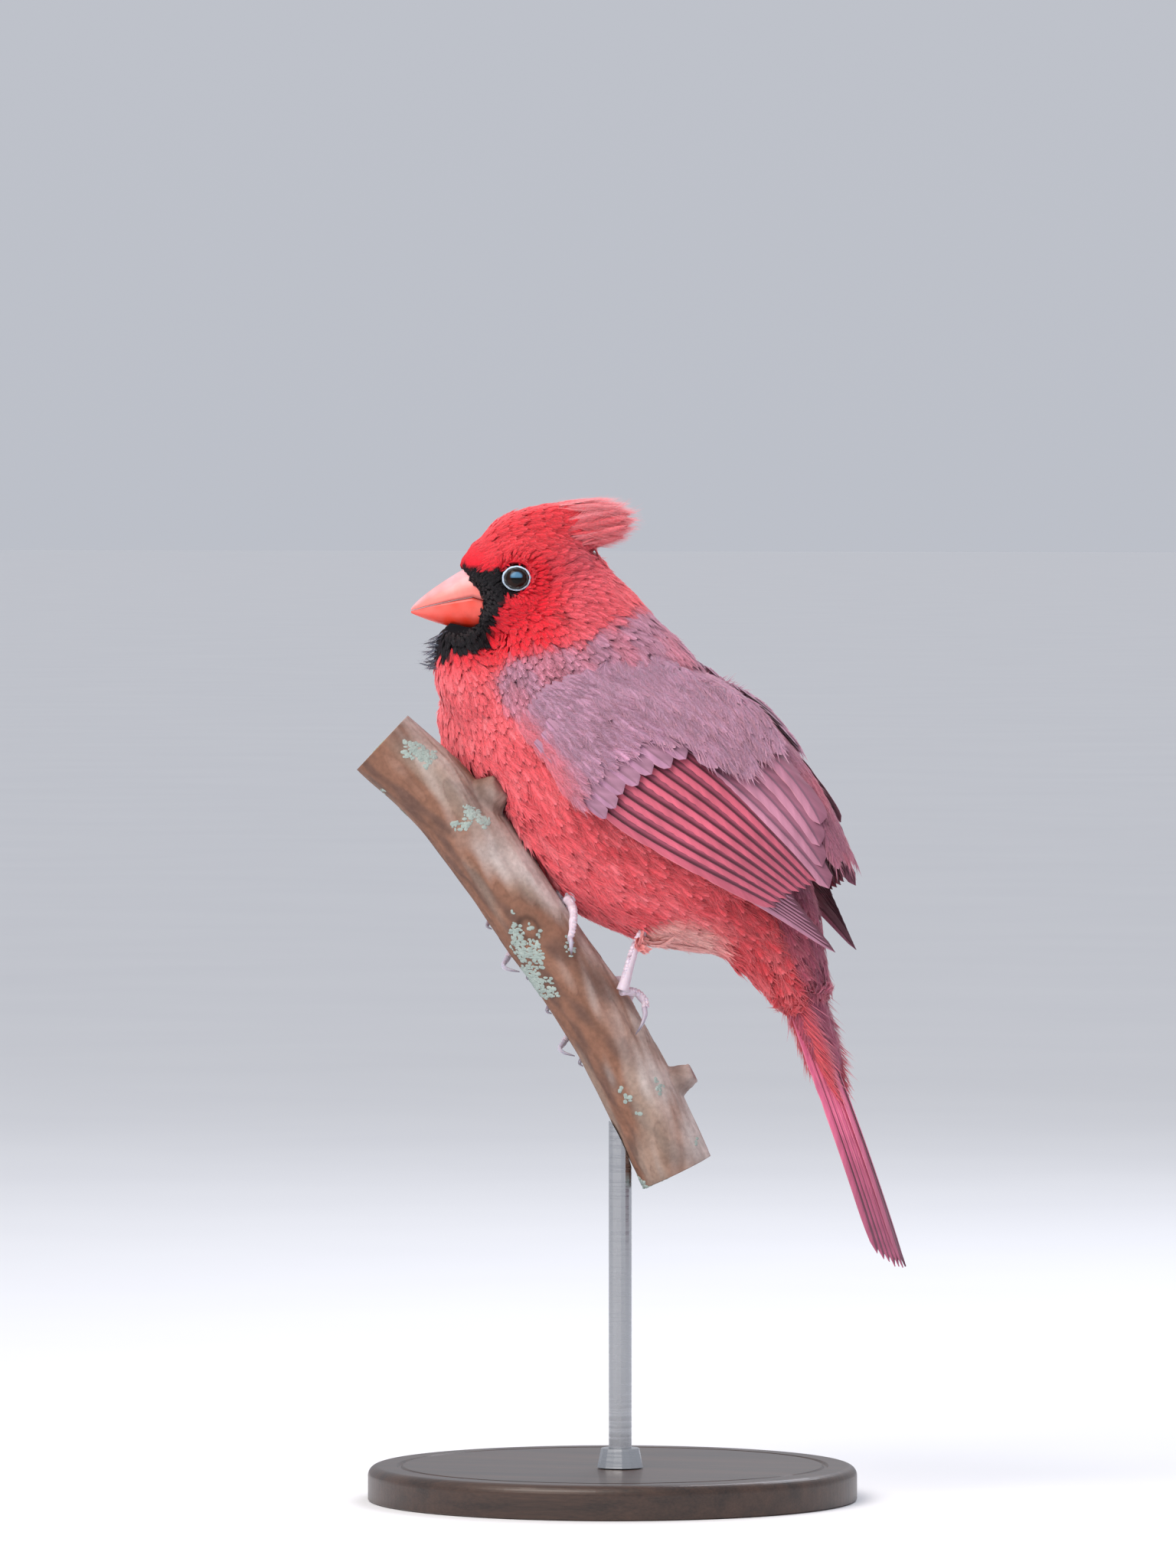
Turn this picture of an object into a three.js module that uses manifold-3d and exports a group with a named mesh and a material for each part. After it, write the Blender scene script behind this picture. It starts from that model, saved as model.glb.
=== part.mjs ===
// A male northern cardinal at life size, gripping a short cut length of branch
// that a rod holds over a flat base. Millimetres, +Z up, the bird faces -X,
// and the origin is the middle of the base's underside.
import * as THREE from "three";
import { mergeVertices } from "three/addons/utils/BufferGeometryUtils.js";
import Module from "manifold-3d";

const wasm = await Module();
wasm.setup();

// Driving dimensions
const GAP = 0.3;
const LOOK_TURN = THREE.MathUtils.degToRad(18); // the head and the branch are turned this far from the trunk
const HEAD_PIVOT_X = -8;
const BRANCH_RADIUS = 10;
const BRANCH_DEPTH = -10; // the branch passes this far on the bird's left of its middle
const BASE_RADIUS = 64;
const BASE_HEIGHT = 9;
const ROD_RADIUS = 3;
const ROD_TOP = 106; // inside the branch, where the rod is cut to its bark
const ROD_ALONG = 2; // the rod stands under this place of the branch
const COLLAR = { height: 5, top: 5, foot: 6 }; // its height and its two radii
const EYE_RADIUS = 3.7;
const VANE_THICKNESS = 0.7;

const vec = (x, y, z) => new THREE.Vector3(x, y, z);
const rad = THREE.MathUtils.degToRad;

// Finishes
const finish = (color, roughness, metalness = 0) =>
  new THREE.MeshStandardMaterial({ color, roughness, metalness });
const RED = finish(0xd81f2c, 0.85);
const MAUVE = finish(0xa87790, 0.8);
const ROSE = finish(0xbf4a62, 0.75);
const BILL_ORANGE = finish(0xe8583f, 0.4);
const EYE_DARK = finish(0x120c10, 0.08);
const LEG_PINK = finish(0xb9a3b4, 0.55);
const CLAW_GREY = finish(0xa79fb2, 0.4);
const BARK = finish(0x7d6453, 0.8);
const STAND_WOOD = finish(0x2c211c, 0.45);
const STAND_STEEL = finish(0xb8bbc0, 0.3, 1);

// Solids and meshes
const solidOf = (geometry) => {
  const bare = geometry.index ? geometry.toNonIndexed() : geometry.clone();
  bare.deleteAttribute("normal");
  bare.deleteAttribute("uv");
  const merged = mergeVertices(bare, 1e-4);
  return new wasm.Manifold(
    new wasm.Mesh({
      numProp: 3,
      vertProperties: merged.attributes.position.array,
      triVerts: new Uint32Array(merged.index.array),
    }),
  );
};

const largestOf = (solid) =>
  solid.decompose().reduce((a, b) => (a.volume() > b.volume() ? a : b));

const model = new THREE.Group();

const show = (name, solid, material) => {
  const whole = largestOf(solid);
  const data = whole.getMesh();
  const geometry = new THREE.BufferGeometry();
  const position = new Float32Array(data.vertProperties);
  geometry.setAttribute("position", new THREE.BufferAttribute(position, 3));
  geometry.setIndex(new THREE.BufferAttribute(data.triVerts, 1));
  geometry.computeVertexNormals();
  const mesh = new THREE.Mesh(geometry, material);
  mesh.name = name;
  model.add(mesh);
  return whole;
};

// A solid from places and faces, turned right side out if its faces point in.
const closedSolid = (position, index) => {
  const geometry = new THREE.BufferGeometry();
  geometry.setAttribute("position", new THREE.Float32BufferAttribute(position, 3));
  geometry.setIndex(index);
  const solid = solidOf(geometry);
  if (solid.volume() > 0) return solid;
  const turned = geometry.getIndex().array;
  for (let i = 0; i < turned.length; i += 3) {
    [turned[i + 1], turned[i + 2]] = [turned[i + 2], turned[i + 1]];
  }
  return solidOf(geometry);
};

// Skins a row of rings of points, and closes both ends on their middles.
const loftRings = (rings) => {
  const position = [];
  const index = [];
  const sides = rings[0].length;
  rings.flat().forEach((p) => position.push(p.x, p.y, p.z));
  const at = (ring, side) => ring * sides + (side % sides);
  for (let r = 0; r < rings.length - 1; r++) {
    for (let s = 0; s < sides; s++) {
      index.push(at(r, s), at(r, s + 1), at(r + 1, s + 1));
      index.push(at(r, s), at(r + 1, s + 1), at(r + 1, s));
    }
  }
  const middle = (ring) =>
    ring.reduce((sum, p) => sum.add(p), vec(0, 0, 0)).divideScalar(sides);
  const last = rings.length - 1;
  const first = middle(rings[0]);
  const end = middle(rings[last]);
  position.push(first.x, first.y, first.z, end.x, end.y, end.z);
  const cap = rings.length * sides;
  for (let s = 0; s < sides; s++) {
    index.push(cap, at(0, s + 1), at(0, s));
    index.push(cap + 1, at(last, s), at(last, s + 1));
  }
  return closedSolid(position, index);
};

// A smooth value through evenly spaced ones.
const through = (values, t) => {
  const curve = new THREE.CatmullRomCurve3(
    values.map((v, i) => vec(i, v, 0)),
    false,
    "catmullrom",
    0.5,
  );
  return curve.getPoint(t).y;
};

// A body of elliptical sections: each station is [x, z, half depth, half width] on the middle plane.
const bodyLoft = (stations, grow, rings, sides) => {
  const line = new THREE.CatmullRomCurve3(stations.map(([x, z]) => vec(x, 0, z)));
  const made = [];
  for (let r = 0; r <= rings; r++) {
    const t = r / rings;
    const across = line.getTangent(t).cross(vec(0, 1, 0)).normalize();
    const centre = line.getPoint(t);
    const depth = through(stations.map((s) => s[2]), t) + grow;
    const width = through(stations.map((s) => s[3]), t) + grow;
    const ring = [];
    for (let s = 0; s < sides; s++) {
      const angle = (2 * Math.PI * s) / sides;
      const point = centre.clone();
      point.addScaledVector(across, depth * Math.cos(angle));
      point.y += width * Math.sin(angle);
      ring.push(point);
    }
    made.push(ring);
  }
  return loftRings(made);
};

// Puts a solid drawn with +X forward, in the plane of the photograph, on the turned head.
const onHead = (solid) =>
  solid
    .translate([-HEAD_PIVOT_X, 0, 0])
    .rotate([0, 0, THREE.MathUtils.radToDeg(LOOK_TURN)])
    .translate([HEAD_PIVOT_X, 0, 0]);

// A round tube through points, its radius a function of the way along.
const tube = (points, radius, sides, steps) => {
  const line = new THREE.CatmullRomCurve3(points);
  const frames = line.computeFrenetFrames(steps, false);
  const rings = [];
  for (let i = 0; i <= steps; i++) {
    const centre = line.getPointAt(i / steps);
    const size = radius(i / steps);
    const ring = [];
    for (let s = 0; s < sides; s++) {
      const angle = (2 * Math.PI * s) / sides;
      const point = centre.clone();
      point.addScaledVector(frames.normals[i], size * Math.cos(angle));
      point.addScaledVector(frames.binormals[i], size * Math.sin(angle));
      ring.push(point);
    }
    rings.push(ring);
  }
  return loftRings(rings);
};

// Trunk: stations run from the throat down the breast and back to the root of the tail.
const TRUNK = [
  [-26, 223, 22, 15],
  [-22, 216, 31, 22],
  [-12.8, 204.8, 36.3, 27.5],
  [0.4, 189.5, 36, 28.5],
  [15, 175.8, 32, 26],
  [28.5, 165, 25.5, 21],
  [39, 156, 17.5, 15.5],
  [46.5, 144.5, 11.3, 11.5],
  [51.5, 133, 6.8, 10.5],
  [55.5, 123, 4.5, 9.5],
];
const trunkSolid = (grow) => bodyLoft(TRUNK, grow, 14, 16);

// Neck: a short collar between the back of the head and the shoulders.
const NECK = [
  [-20, 242, 10.5, 11.5],
  [-15, 235.5, 17, 16],
  [-12, 226, 23.3, 20],
  [-9, 214, 28.5, 24.5],
  [-5, 203, 29, 25],
];
const neckSolid = (grow) => bodyLoft(NECK, grow, 6, 12);

// Head: an egg that narrows towards the bill and is fuller at the cheeks.
const HEAD = { x: -22.5, z: 240, long: 18.5, high: 17.2, wide: 14.6 };
const headSolid = (grow) => {
  const ball = new THREE.SphereGeometry(1, 18, 11).rotateX(Math.PI / 2);
  const place = ball.getAttribute("position");
  for (let i = 0; i < place.count; i++) {
    const x = place.getX(i);
    const y = place.getY(i);
    const z = place.getZ(i);
    const front = Math.max(0, -x);
    const narrow = 1 - 0.2 * front * front;
    const cheek = 1 + 0.1 * Math.max(0, -z) * (1 - front);
    place.setXYZ(
      i,
      x * (HEAD.long + grow) + HEAD.x,
      y * (HEAD.wide * narrow * cheek + grow),
      z * (HEAD.high * (1 - 0.12 * front) + grow) + HEAD.z - 2.5 * front * front,
    );
  }
  return onHead(solidOf(ball));
};

// Rictus and chin: the fluff of the black bib under the bill.
const BIB = [
  [-37, 228, 7.5, 8],
  [-39, 222, 8.5, 11],
  [-36, 214, 11, 16],
  [-30, 206, 12, 18],
];
const bibSolid = (grow) => onHead(bodyLoft(BIB, grow, 4, 10));

const fleshSolid = (grow) =>
  trunkSolid(grow).add(neckSolid(grow)).add(headSolid(grow)).add(bibSolid(grow));

// Crest: locks that rise from the forehead and end in free tips behind the crown.
const CREST_TIPS = [
  [-5.4, 260.8],
  [0.2, 257.3],
  [1.4, 254.2],
  [0, 250.2],
];
const crestSolid = () => {
  const locks = CREST_TIPS.map(([x, z], i) => {
    const drop = (2.4 * i) / (CREST_TIPS.length - 1);
    const line = new THREE.CatmullRomCurve3([
      vec(-37.5 + 3 * drop, 0, 247 - drop),
      vec(-29 + drop, 0, 253 - 1.5 * drop),
      vec(-15, 0, 257.2 - 2.6 * drop),
      vec(x, 0, z),
    ]);
    const rings = [];
    const steps = 7;
    const sides = 8;
    for (let r = 0; r <= steps; r++) {
      const t = r / steps;
      const swell = Math.sin(Math.PI * Math.min(1, 0.16 + t * 0.84)) ** 0.8;
      const width = 0.5 + 8.8 * swell;
      const height = 0.45 + 3.9 * swell;
      const centre = line.getPoint(t);
      const ring = [];
      for (let s = 0; s < sides; s++) {
        const angle = (2 * Math.PI * s) / sides;
        ring.push(
          vec(centre.x, centre.y + width * Math.cos(angle), centre.z + height * Math.sin(angle)),
        );
      }
      rings.push(ring);
    }
    return loftRings(rings);
  });
  return onHead(locks.reduce((a, b) => a.add(b)));
};

// Bill: a heavy cone, its two halves meeting on a line that bends down at the gape.
const BILL_TIP = [-53.4, 232.2];
const BILL_LENGTH = 19;
const billHalf = (upper, grow) => {
  const steps = 9;
  const sides = 11;
  const rings = [];
  for (let r = 0; r <= steps; r++) {
    const t = r / steps; // from the tip back
    const x = BILL_TIP[0] + 0.4 + BILL_LENGTH * t - (r === 0 ? grow : 0);
    const cut = BILL_TIP[1] + 0.3 + 7.5 * t - 6.2 * Math.max(0, t - 0.55);
    const top = BILL_TIP[1] + 0.7 + 13.4 * t ** 0.78;
    const bottom = BILL_TIP[1] - 0.2 - 4.6 * Math.sin((Math.PI / 2) * t) ** 0.9;
    const half = 0.35 + 6.1 * Math.sin((Math.PI / 2) * t) ** 0.85;
    const far = upper ? top : bottom;
    const height = far - cut;
    const ring = [];
    for (let s = 0; s < sides; s++) {
      const angle = (Math.PI * s) / (sides - 1);
      const y = (half + grow) * Math.cos(angle);
      const lift = Math.sin(angle) ** 0.85;
      const z = cut + (upper ? 0.12 : -0.12) + height * lift;
      const out = grow * (upper ? 1 : -1) * (2 * lift - 1);
      ring.push(vec(x, y, z + out));
    }
    rings.push(ring);
  }
  return onHead(loftRings(rings));
};

// Eyes
const EYE_PLACE = [-25.4, 11.1, 241]; // forward, out from the middle, up
const eyeSolid = (side, grow) => {
  const ball = new THREE.SphereGeometry(EYE_RADIUS + grow, 12, 8);
  ball.translate(EYE_PLACE[0], side * EYE_PLACE[1], EYE_PLACE[2]);
  return onHead(solidOf(ball));
};

// Branch: its middle line lies in a plane turned with the head, on the bird's left.
const BRANCH_LINE = [
  [-60, 198.2],
  [-43.8, 183],
  [-32.2, 168.2],
  [-18.4, 148],
  [-7.3, 132],
  [1.2, 117.6],
  [9.9, 101],
  [17, 86.5],
];
const onBranchPlane = ([along, z], depth = BRANCH_DEPTH) =>
  vec(
    along * Math.cos(LOOK_TURN) - depth * Math.sin(LOOK_TURN),
    along * Math.sin(LOOK_TURN) + depth * Math.cos(LOOK_TURN),
    z,
  );
const branchCurve = new THREE.CatmullRomCurve3(BRANCH_LINE.map((p) => onBranchPlane(p)));
const TOWARDS_CAMERA = vec(Math.sin(LOOK_TURN), -Math.cos(LOOK_TURN), 0);

const branchRadius = (t, angle) =>
  BRANCH_RADIUS * (0.985 + 0.025 * Math.sin(9 * t)) + 0.2 * Math.sin(3 * rad(angle) + 11 * t);

// A point by the branch: t along it, an angle round it from its upper side, and a height over the bark.
const aroundBranch = (t, angle, height) => {
  const up = TOWARDS_CAMERA.clone().cross(branchCurve.getTangentAt(t)).normalize();
  if (up.z < 0) up.negate();
  const out = branchRadius(t, angle) + height;
  return branchCurve
    .getPointAt(t)
    .addScaledVector(up, out * Math.cos(rad(angle)))
    .addScaledVector(TOWARDS_CAMERA, out * Math.sin(rad(angle)));
};

const KNOTS = [
  { t: 0.205, angle: 12, height: 4.6, radius: 3.6 },
  { t: 0.842, angle: -4, height: 5, radius: 2.9 },
];
const branchSolid = (grow) => {
  const steps = 14;
  const sides = 14;
  const rings = [];
  for (let i = 0; i <= steps; i++) {
    const ring = [];
    for (let s = 0; s < sides; s++) ring.push(aroundBranch(i / steps, (360 * s) / sides, grow));
    rings.push(ring);
  }
  const stubs = KNOTS.map(({ t, angle, height, radius }) => {
    const reach = (share) => aroundBranch(t + 0.012 * share, angle, (height + 4) * share - 4);
    return tube(
      [reach(0), reach(0.5), reach(1)],
      (share) => radius * (1.35 - 0.75 * share) + grow,
      7,
      2,
    );
  });
  return stubs.reduce((a, b) => a.add(b), loftRings(rings));
};

// Flight feathers: each wing is a sheet between an upper, a middle and a lower line,
// and each line runs from the shoulder to the tip.
const WING_LINES = [
  [[12, -9, 217], [30, -6, 209], [44, -5, 196], [54, -5, 182], [61, -7.5, 166]],
  [[-3, -28, 213], [16, -31, 199], [34, -27, 185], [48, -18, 170], [61, -9.5, 156]],
  [[-13.6, -28, 200.2], [8, -31, 181], [28, -28, 168.5], [47, -20.5, 157.4], [62, -9.5, 145]],
].map((line) => new THREE.CatmullRomCurve3(line.map(([x, y, z]) => vec(x, y, z))));

// Pushes a point out from the trunk's middle line until it clears the trunk by a distance.
const trunkLine = new THREE.CatmullRomCurve3(TRUNK.map(([x, z]) => vec(x, 0, z)));
const TRUNK_STOPS = 90;
const outsideTrunk = (point, clear) => {
  let best = { distance: Infinity, t: 0 };
  for (let k = 0; k <= TRUNK_STOPS; k++) {
    const t = k / TRUNK_STOPS;
    const centre = trunkLine.getPoint(t);
    const distance = Math.abs(point.clone().sub(centre).dot(trunkLine.getTangent(t)));
    if (distance < best.distance) best = { distance, t, centre };
  }
  const across = trunkLine.getTangent(best.t).cross(vec(0, 1, 0)).normalize();
  const depth = through(TRUNK.map((row) => row[2]), best.t) + clear;
  const width = through(TRUNK.map((row) => row[3]), best.t) + clear;
  const offset = point.clone().sub(best.centre);
  const share = Math.hypot(offset.dot(across) / depth, offset.y / width);
  return share < 1 ? best.centre.clone().addScaledVector(offset, 1 / share) : point;
};

// A point of the left wing's sheet: u from shoulder to tip, v from the back down to the flank.
const wingSheet = (u, v) => {
  const [a, b, c] = WING_LINES.map((line) => line.getPoint(u));
  const point = a
    .multiplyScalar((1 - v) * (1 - 2 * v))
    .addScaledVector(b, 4 * v * (1 - v))
    .addScaledVector(c, v * (2 * v - 1));
  return outsideTrunk(point, 1.2 * GAP);
};
const wingOut = (u, v) => {
  const step = 0.01;
  const low = Math.min(u, 0.99);
  const along = wingSheet(low + step, v).sub(wingSheet(low, v));
  const down = wingSheet(low, Math.min(1, v + step)).sub(wingSheet(low, Math.max(0, v - step)));
  return along.cross(down).normalize();
};

// A thin sheet from a grid of places: at(i, j, face), where face 0 is inside and face 1 outside.
const sheetSolid = (rows, columns, at) => {
  const position = [];
  const index = [];
  for (const face of [0, 1]) {
    for (let i = 0; i <= rows; i++) {
      for (let j = 0; j <= columns; j++) position.push(...at(i, j, face).toArray());
    }
  }
  const id = (i, j, face) => (face * (rows + 1) + i) * (columns + 1) + j;
  const quad = (a, b, c, d) => index.push(a, b, c, a, c, d);
  for (let i = 0; i < rows; i++) {
    for (let j = 0; j < columns; j++) {
      quad(id(i, j, 1), id(i + 1, j, 1), id(i + 1, j + 1, 1), id(i, j + 1, 1));
      quad(id(i, j, 0), id(i, j + 1, 0), id(i + 1, j + 1, 0), id(i + 1, j, 0));
    }
    quad(id(i, 0, 0), id(i + 1, 0, 0), id(i + 1, 0, 1), id(i, 0, 1));
    quad(id(i, columns, 0), id(i, columns, 1), id(i + 1, columns, 1), id(i + 1, columns, 0));
  }
  for (let j = 0; j < columns; j++) {
    quad(id(0, j, 0), id(0, j, 1), id(0, j + 1, 1), id(0, j + 1, 0));
    quad(id(rows, j, 0), id(rows, j + 1, 0), id(rows, j + 1, 1), id(rows, j, 1));
  }
  return closedSolid(position, index);
};

// Rows of quills: v is the way from the back down to the flank, and two columns make one feather.
const WING_ROWS = {
  primaries: { count: 7, from: [0.34, 0.34], to: [0.86, 1.0], v: [1, 0.68], lift: 0 },
  secondaries: { count: 6, from: [0.3, 0.28], to: [0.84, 0.92], v: [0.86, 0.34], lift: 1.5 },
  tertials: { count: 3, from: [0.3, 0.34], to: [0.96, 0.98], v: [0.4, 0.0], lift: 2.9 },
  coverts: { count: 6, from: [0.05, 0.12], to: [0.46, 0.46], v: [0.98, 0.3], lift: 4.6 },
};

const mix = ([a, b], t) => a + (b - a) * t;
const wingRow = (row, side) => {
  const columns = row.count * 2;
  const rows = 3;
  const solid = sheetSolid(rows, columns, (i, j, face) => {
    const share = j / columns;
    const edge = j % 2 === 0 ? 1 : 0;
    const ends = row === WING_ROWS.primaries ? (1 - share) ** 0.8 : share;
    const to = mix(row.to, ends) - 0.02 * edge;
    const from = mix(row.from, share);
    const u = from + ((to - from) * i) / rows;
    const v = mix(row.v, share);
    const out = row.lift + face * (VANE_THICKNESS + 0.35 * (1 - edge));
    return wingSheet(u, v).addScaledVector(wingOut(u, v), out);
  });
  return side < 0 ? solid : solid.mirror([0, 1, 0]);
};

// Wing shoulder: the lesser coverts and the folded arm, a thick pad over the shoulder.
const shoulderSolid = (side, grow) => {
  const rings = [];
  const steps = 6;
  const sides = 10;
  for (let r = 0; r <= steps; r++) {
    const t = r / steps;
    const u = 0.02 + 0.26 * t;
    const swell = Math.sqrt(Math.max(0.05, 1 - (2 * t - 1) ** 2));
    const ring = [];
    for (let s = 0; s < sides; s++) {
      const angle = (2 * Math.PI * s) / sides;
      const v = 0.62 + 0.34 * swell * Math.cos(angle);
      const out = 1.6 + (1.6 * swell + grow) * Math.sin(angle);
      ring.push(wingSheet(u, v).addScaledVector(wingOut(u, v), out));
    }
    rings.push(ring);
  }
  const solid = loftRings(rings);
  return side < 0 ? solid : solid.mirror([0, 1, 0]);
};

// Tail: twelve feathers, the middle pair on top and the outer ones shorter and lower.
const TAIL_ROOT = vec(54.3, 0, 131.5);
const TAIL_TIP = vec(80, 0, 62.5);
const TAIL_PAIRS = 6;
const TAIL_HALF_WIDTH = 12;
const TAIL_STACK = 4.4; // the closed feathers lie this deep on each other
const tailAlong = TAIL_TIP.clone().sub(TAIL_ROOT).normalize();
const tailOut = vec(0, 1, 0).cross(tailAlong).normalize().multiplyScalar(-1);
if (tailOut.x < 0) tailOut.negate();
const tailSolid = () => {
  const columns = 4 * TAIL_PAIRS;
  const rows = 3;
  return sheetSolid(rows, columns, (i, j, face) => {
    const across = (2 * j) / columns - 1;
    const edge = j % 2;
    const t = i / rows;
    const length = TAIL_TIP.distanceTo(TAIL_ROOT) * (1 - 0.075 * across ** 2) - 1.6 * edge;
    const half = TAIL_HALF_WIDTH * (1 - 0.12 * (1 - t) - 0.16 * t ** 3);
    const stack = TAIL_STACK * (1 - 0.85 * t);
    const depth = face ? -1.4 * across ** 2 + 0.25 * (1 - edge) : -1 - stack * (1 - 0.35 * across ** 2);
    return TAIL_ROOT.clone()
      .addScaledVector(tailAlong, length * t)
      .addScaledVector(tailOut, depth)
      .add(vec(0, across * half, 0));
  });
};

// Feet: a joint on the branch, a shank up to the belly and a feathered thigh within it.
// Along and up are in the plane of the branch, and depth is away from it.
const TOE_RADIUS = 1.05;
const FEET = {
  right: {
    joint: 0.449,
    angle: 8,
    shank: [[-8.4, 1.6, 159], [-4, 4.5, 166]],
    thigh: [[6, 10, 177], [-0.5, 6, 167.5], [-8, 2, 157.4]],
    hallux: { steps: [0, 0.022, 0.052, 0.064], angles: [12, 30, 52, 60], out: [0, 0.9, 0.9, 0.2] },
    hind: [[0.07, 64], [0.08, 68], [0.092, 70]],
  },
  left: {
    joint: 0.648,
    angle: 38,
    shank: [[6.6, -6, 146.5], [11, -4, 153]],
    thigh: [[16, -3, 164], [11, -4.4, 154.5], [6.2, -6, 145.4]],
    hallux: { steps: [0, 0.018, 0.038, 0.05], angles: [36, 16, 16, 22], out: [0, 1, 1.6, 1.2] },
    hind: [[0.06, 30], [0.072, 42], [0.082, 52]],
  },
};
const FRONT_TOES = {
  inner: {
    steps: [-0.012, -0.034, -0.046, -0.048],
    angles: [-20, -60, -96, -126],
    claw: [[-0.046, -138], [-0.04, -150], [-0.032, -160]],
  },
  middle: {
    steps: [0.0, 0.008, 0.02, 0.03],
    angles: [-22, -76, -126, -164],
    claw: [[0.036, -178], [0.046, -190], [0.062, -199]],
  },
  outer: {
    steps: [0.014, 0.04, 0.062, 0.072],
    angles: [-18, -56, -92, -120],
    claw: [[0.077, -132], [0.083, -144], [0.09, -154]],
  },
};
const TOE_HEIGHT = TOE_RADIUS * 1.22 + GAP;
const toePoints = (joint, toe) =>
  toe.steps.map((step, i) => aroundBranch(joint + step, toe.angles[i], TOE_HEIGHT + (toe.out?.[i] ?? 0)));
const toeSolid = (joint, toe, grow) =>
  tube(
    toePoints(joint, toe),
    (t) => TOE_RADIUS * (1.12 - 0.3 * t + 0.1 * Math.cos(6 * Math.PI * t)) + grow,
    6,
    6,
  );
const clawSolid = (joint, toe, grow) => {
  const reach = [1.4, 1, -0.75];
  const points = toe.claw.map(([step, angle], i) => aroundBranch(joint + step, angle, TOE_HEIGHT + reach[i]));
  return tube([toePoints(joint, toe).at(-1), ...points], (t) => 0.85 * (1 - t) ** 0.7 + 0.16 + grow, 6, 4);
};

const placed = ([along, depth, z]) => onBranchPlane([along, z], BRANCH_DEPTH + depth);
const thighSolid = (foot, grow) =>
  tube(foot.thigh.map(placed), (t) => 5.2 - 2.6 * t + grow, 10, 5);
const shankSolid = (foot, grow) =>
  tube(
    [aroundBranch(foot.joint, foot.angle, TOE_HEIGHT + 0.5), ...foot.shank.map(placed)],
    (t) => 1.1 + 0.55 * (1 - 2 * t) ** 2 + grow,
    8,
    6,
  );

// Assembly
const branchWide = branchSolid(GAP);
const bodyWide = fleshSolid(GAP);
const whole = fleshSolid(0);

let feetWide = branchWide;
for (const [name, foot] of Object.entries(FEET)) {
  const thigh = thighSolid(foot, 0).subtract(branchWide);
  show(`thigh_${name}`, thigh, RED);
  show(`tarsus_${name}`, shankSolid(foot, 0).subtract(thighSolid(foot, GAP)).subtract(branchWide), LEG_PINK);
  let taken = shankSolid(foot, GAP).add(thighSolid(foot, GAP));
  const toes = { ...FRONT_TOES, hallux: { ...foot.hallux, claw: foot.hind } };
  for (const [toe, size] of Object.entries(toes)) {
    show(`${toe}_${name}`, toeSolid(foot.joint, size, 0).subtract(taken).subtract(branchWide), LEG_PINK);
    const clear = toeSolid(foot.joint, size, GAP);
    const claw = clawSolid(foot.joint, size, 0).subtract(clear).subtract(taken).subtract(branchWide);
    show(`claw_${toe}_${name}`, claw, CLAW_GREY);
    taken = taken.add(clear).add(clawSolid(foot.joint, size, GAP));
  }
  feetWide = feetWide.add(taken);
}

// Cuts the whole along planes, each a direction and a distance, leaving a gap.
const HEAD_CUT = { normal: [-0.5, 0, 0.866], at: 226.5 * 0.866 + 12 * 0.5 };
const NECK_CUT = { normal: [-0.45, 0, 0.893], at: 207 * 0.893 + 10 * 0.45 };
const RUMP_CUT = { normal: [0.62, 0, -0.785], at: 40 * 0.62 - 152 * 0.785 };
const beyond = (solid, { normal, at }, gap) => solid.trimByPlane(normal, at + gap);
const before = (solid, { normal, at }, gap) =>
  solid.trimByPlane(normal.map((n) => -n), -(at - gap));

const billUpperWide = billHalf(true, GAP);
const billLowerWide = billHalf(false, GAP);
const eyesWide = eyeSolid(-1, GAP).add(eyeSolid(1, GAP));
const tail = tailSolid();

const headPart = beyond(whole, HEAD_CUT, GAP / 2)
  .subtract(billUpperWide)
  .subtract(billLowerWide)
  .subtract(eyesWide);
const neckPart = beyond(before(whole, HEAD_CUT, GAP / 2), NECK_CUT, GAP / 2);
const trunkPart = before(before(whole, NECK_CUT, GAP / 2), RUMP_CUT, GAP / 2)
  .subtract(feetWide);
const TAIL_CUT = { normal: tailAlong.toArray(), at: TAIL_ROOT.dot(tailAlong) + 0.5 };
const rumpPart = before(beyond(whole, RUMP_CUT, GAP / 2), TAIL_CUT, GAP / 2);

show("head", headPart, RED);
show("neck", neckPart, RED);
show("trunk", trunkPart, RED);
show("rump", rumpPart, RED);
show("crest", crestSolid().subtract(headSolid(GAP)).subtract(neckSolid(GAP)), RED);
show("bill_upper", billHalf(true, 0), BILL_ORANGE);
show("bill_lower", billHalf(false, 0), BILL_ORANGE);
show("eye_left", eyeSolid(-1, 0), EYE_DARK);
show("eye_right", eyeSolid(1, 0), EYE_DARK);
show("tail", beyond(tail, TAIL_CUT, GAP / 2), ROSE);

for (const [name, side] of [["left", -1], ["right", 1]]) {
  const shoulder = shoulderSolid(side, 0).subtract(bodyWide);
  const shoulderWide = shoulderSolid(side, GAP);
  show(`wing_${name}_shoulder`, shoulder, MAUVE);
  for (const [row, size] of Object.entries(WING_ROWS)) {
    const solid = wingRow(size, side).subtract(shoulderWide).subtract(bodyWide);
    show(`wing_${name}_${row}`, solid, ROSE);
  }
}

show("perch", branchSolid(0), BARK);

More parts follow.
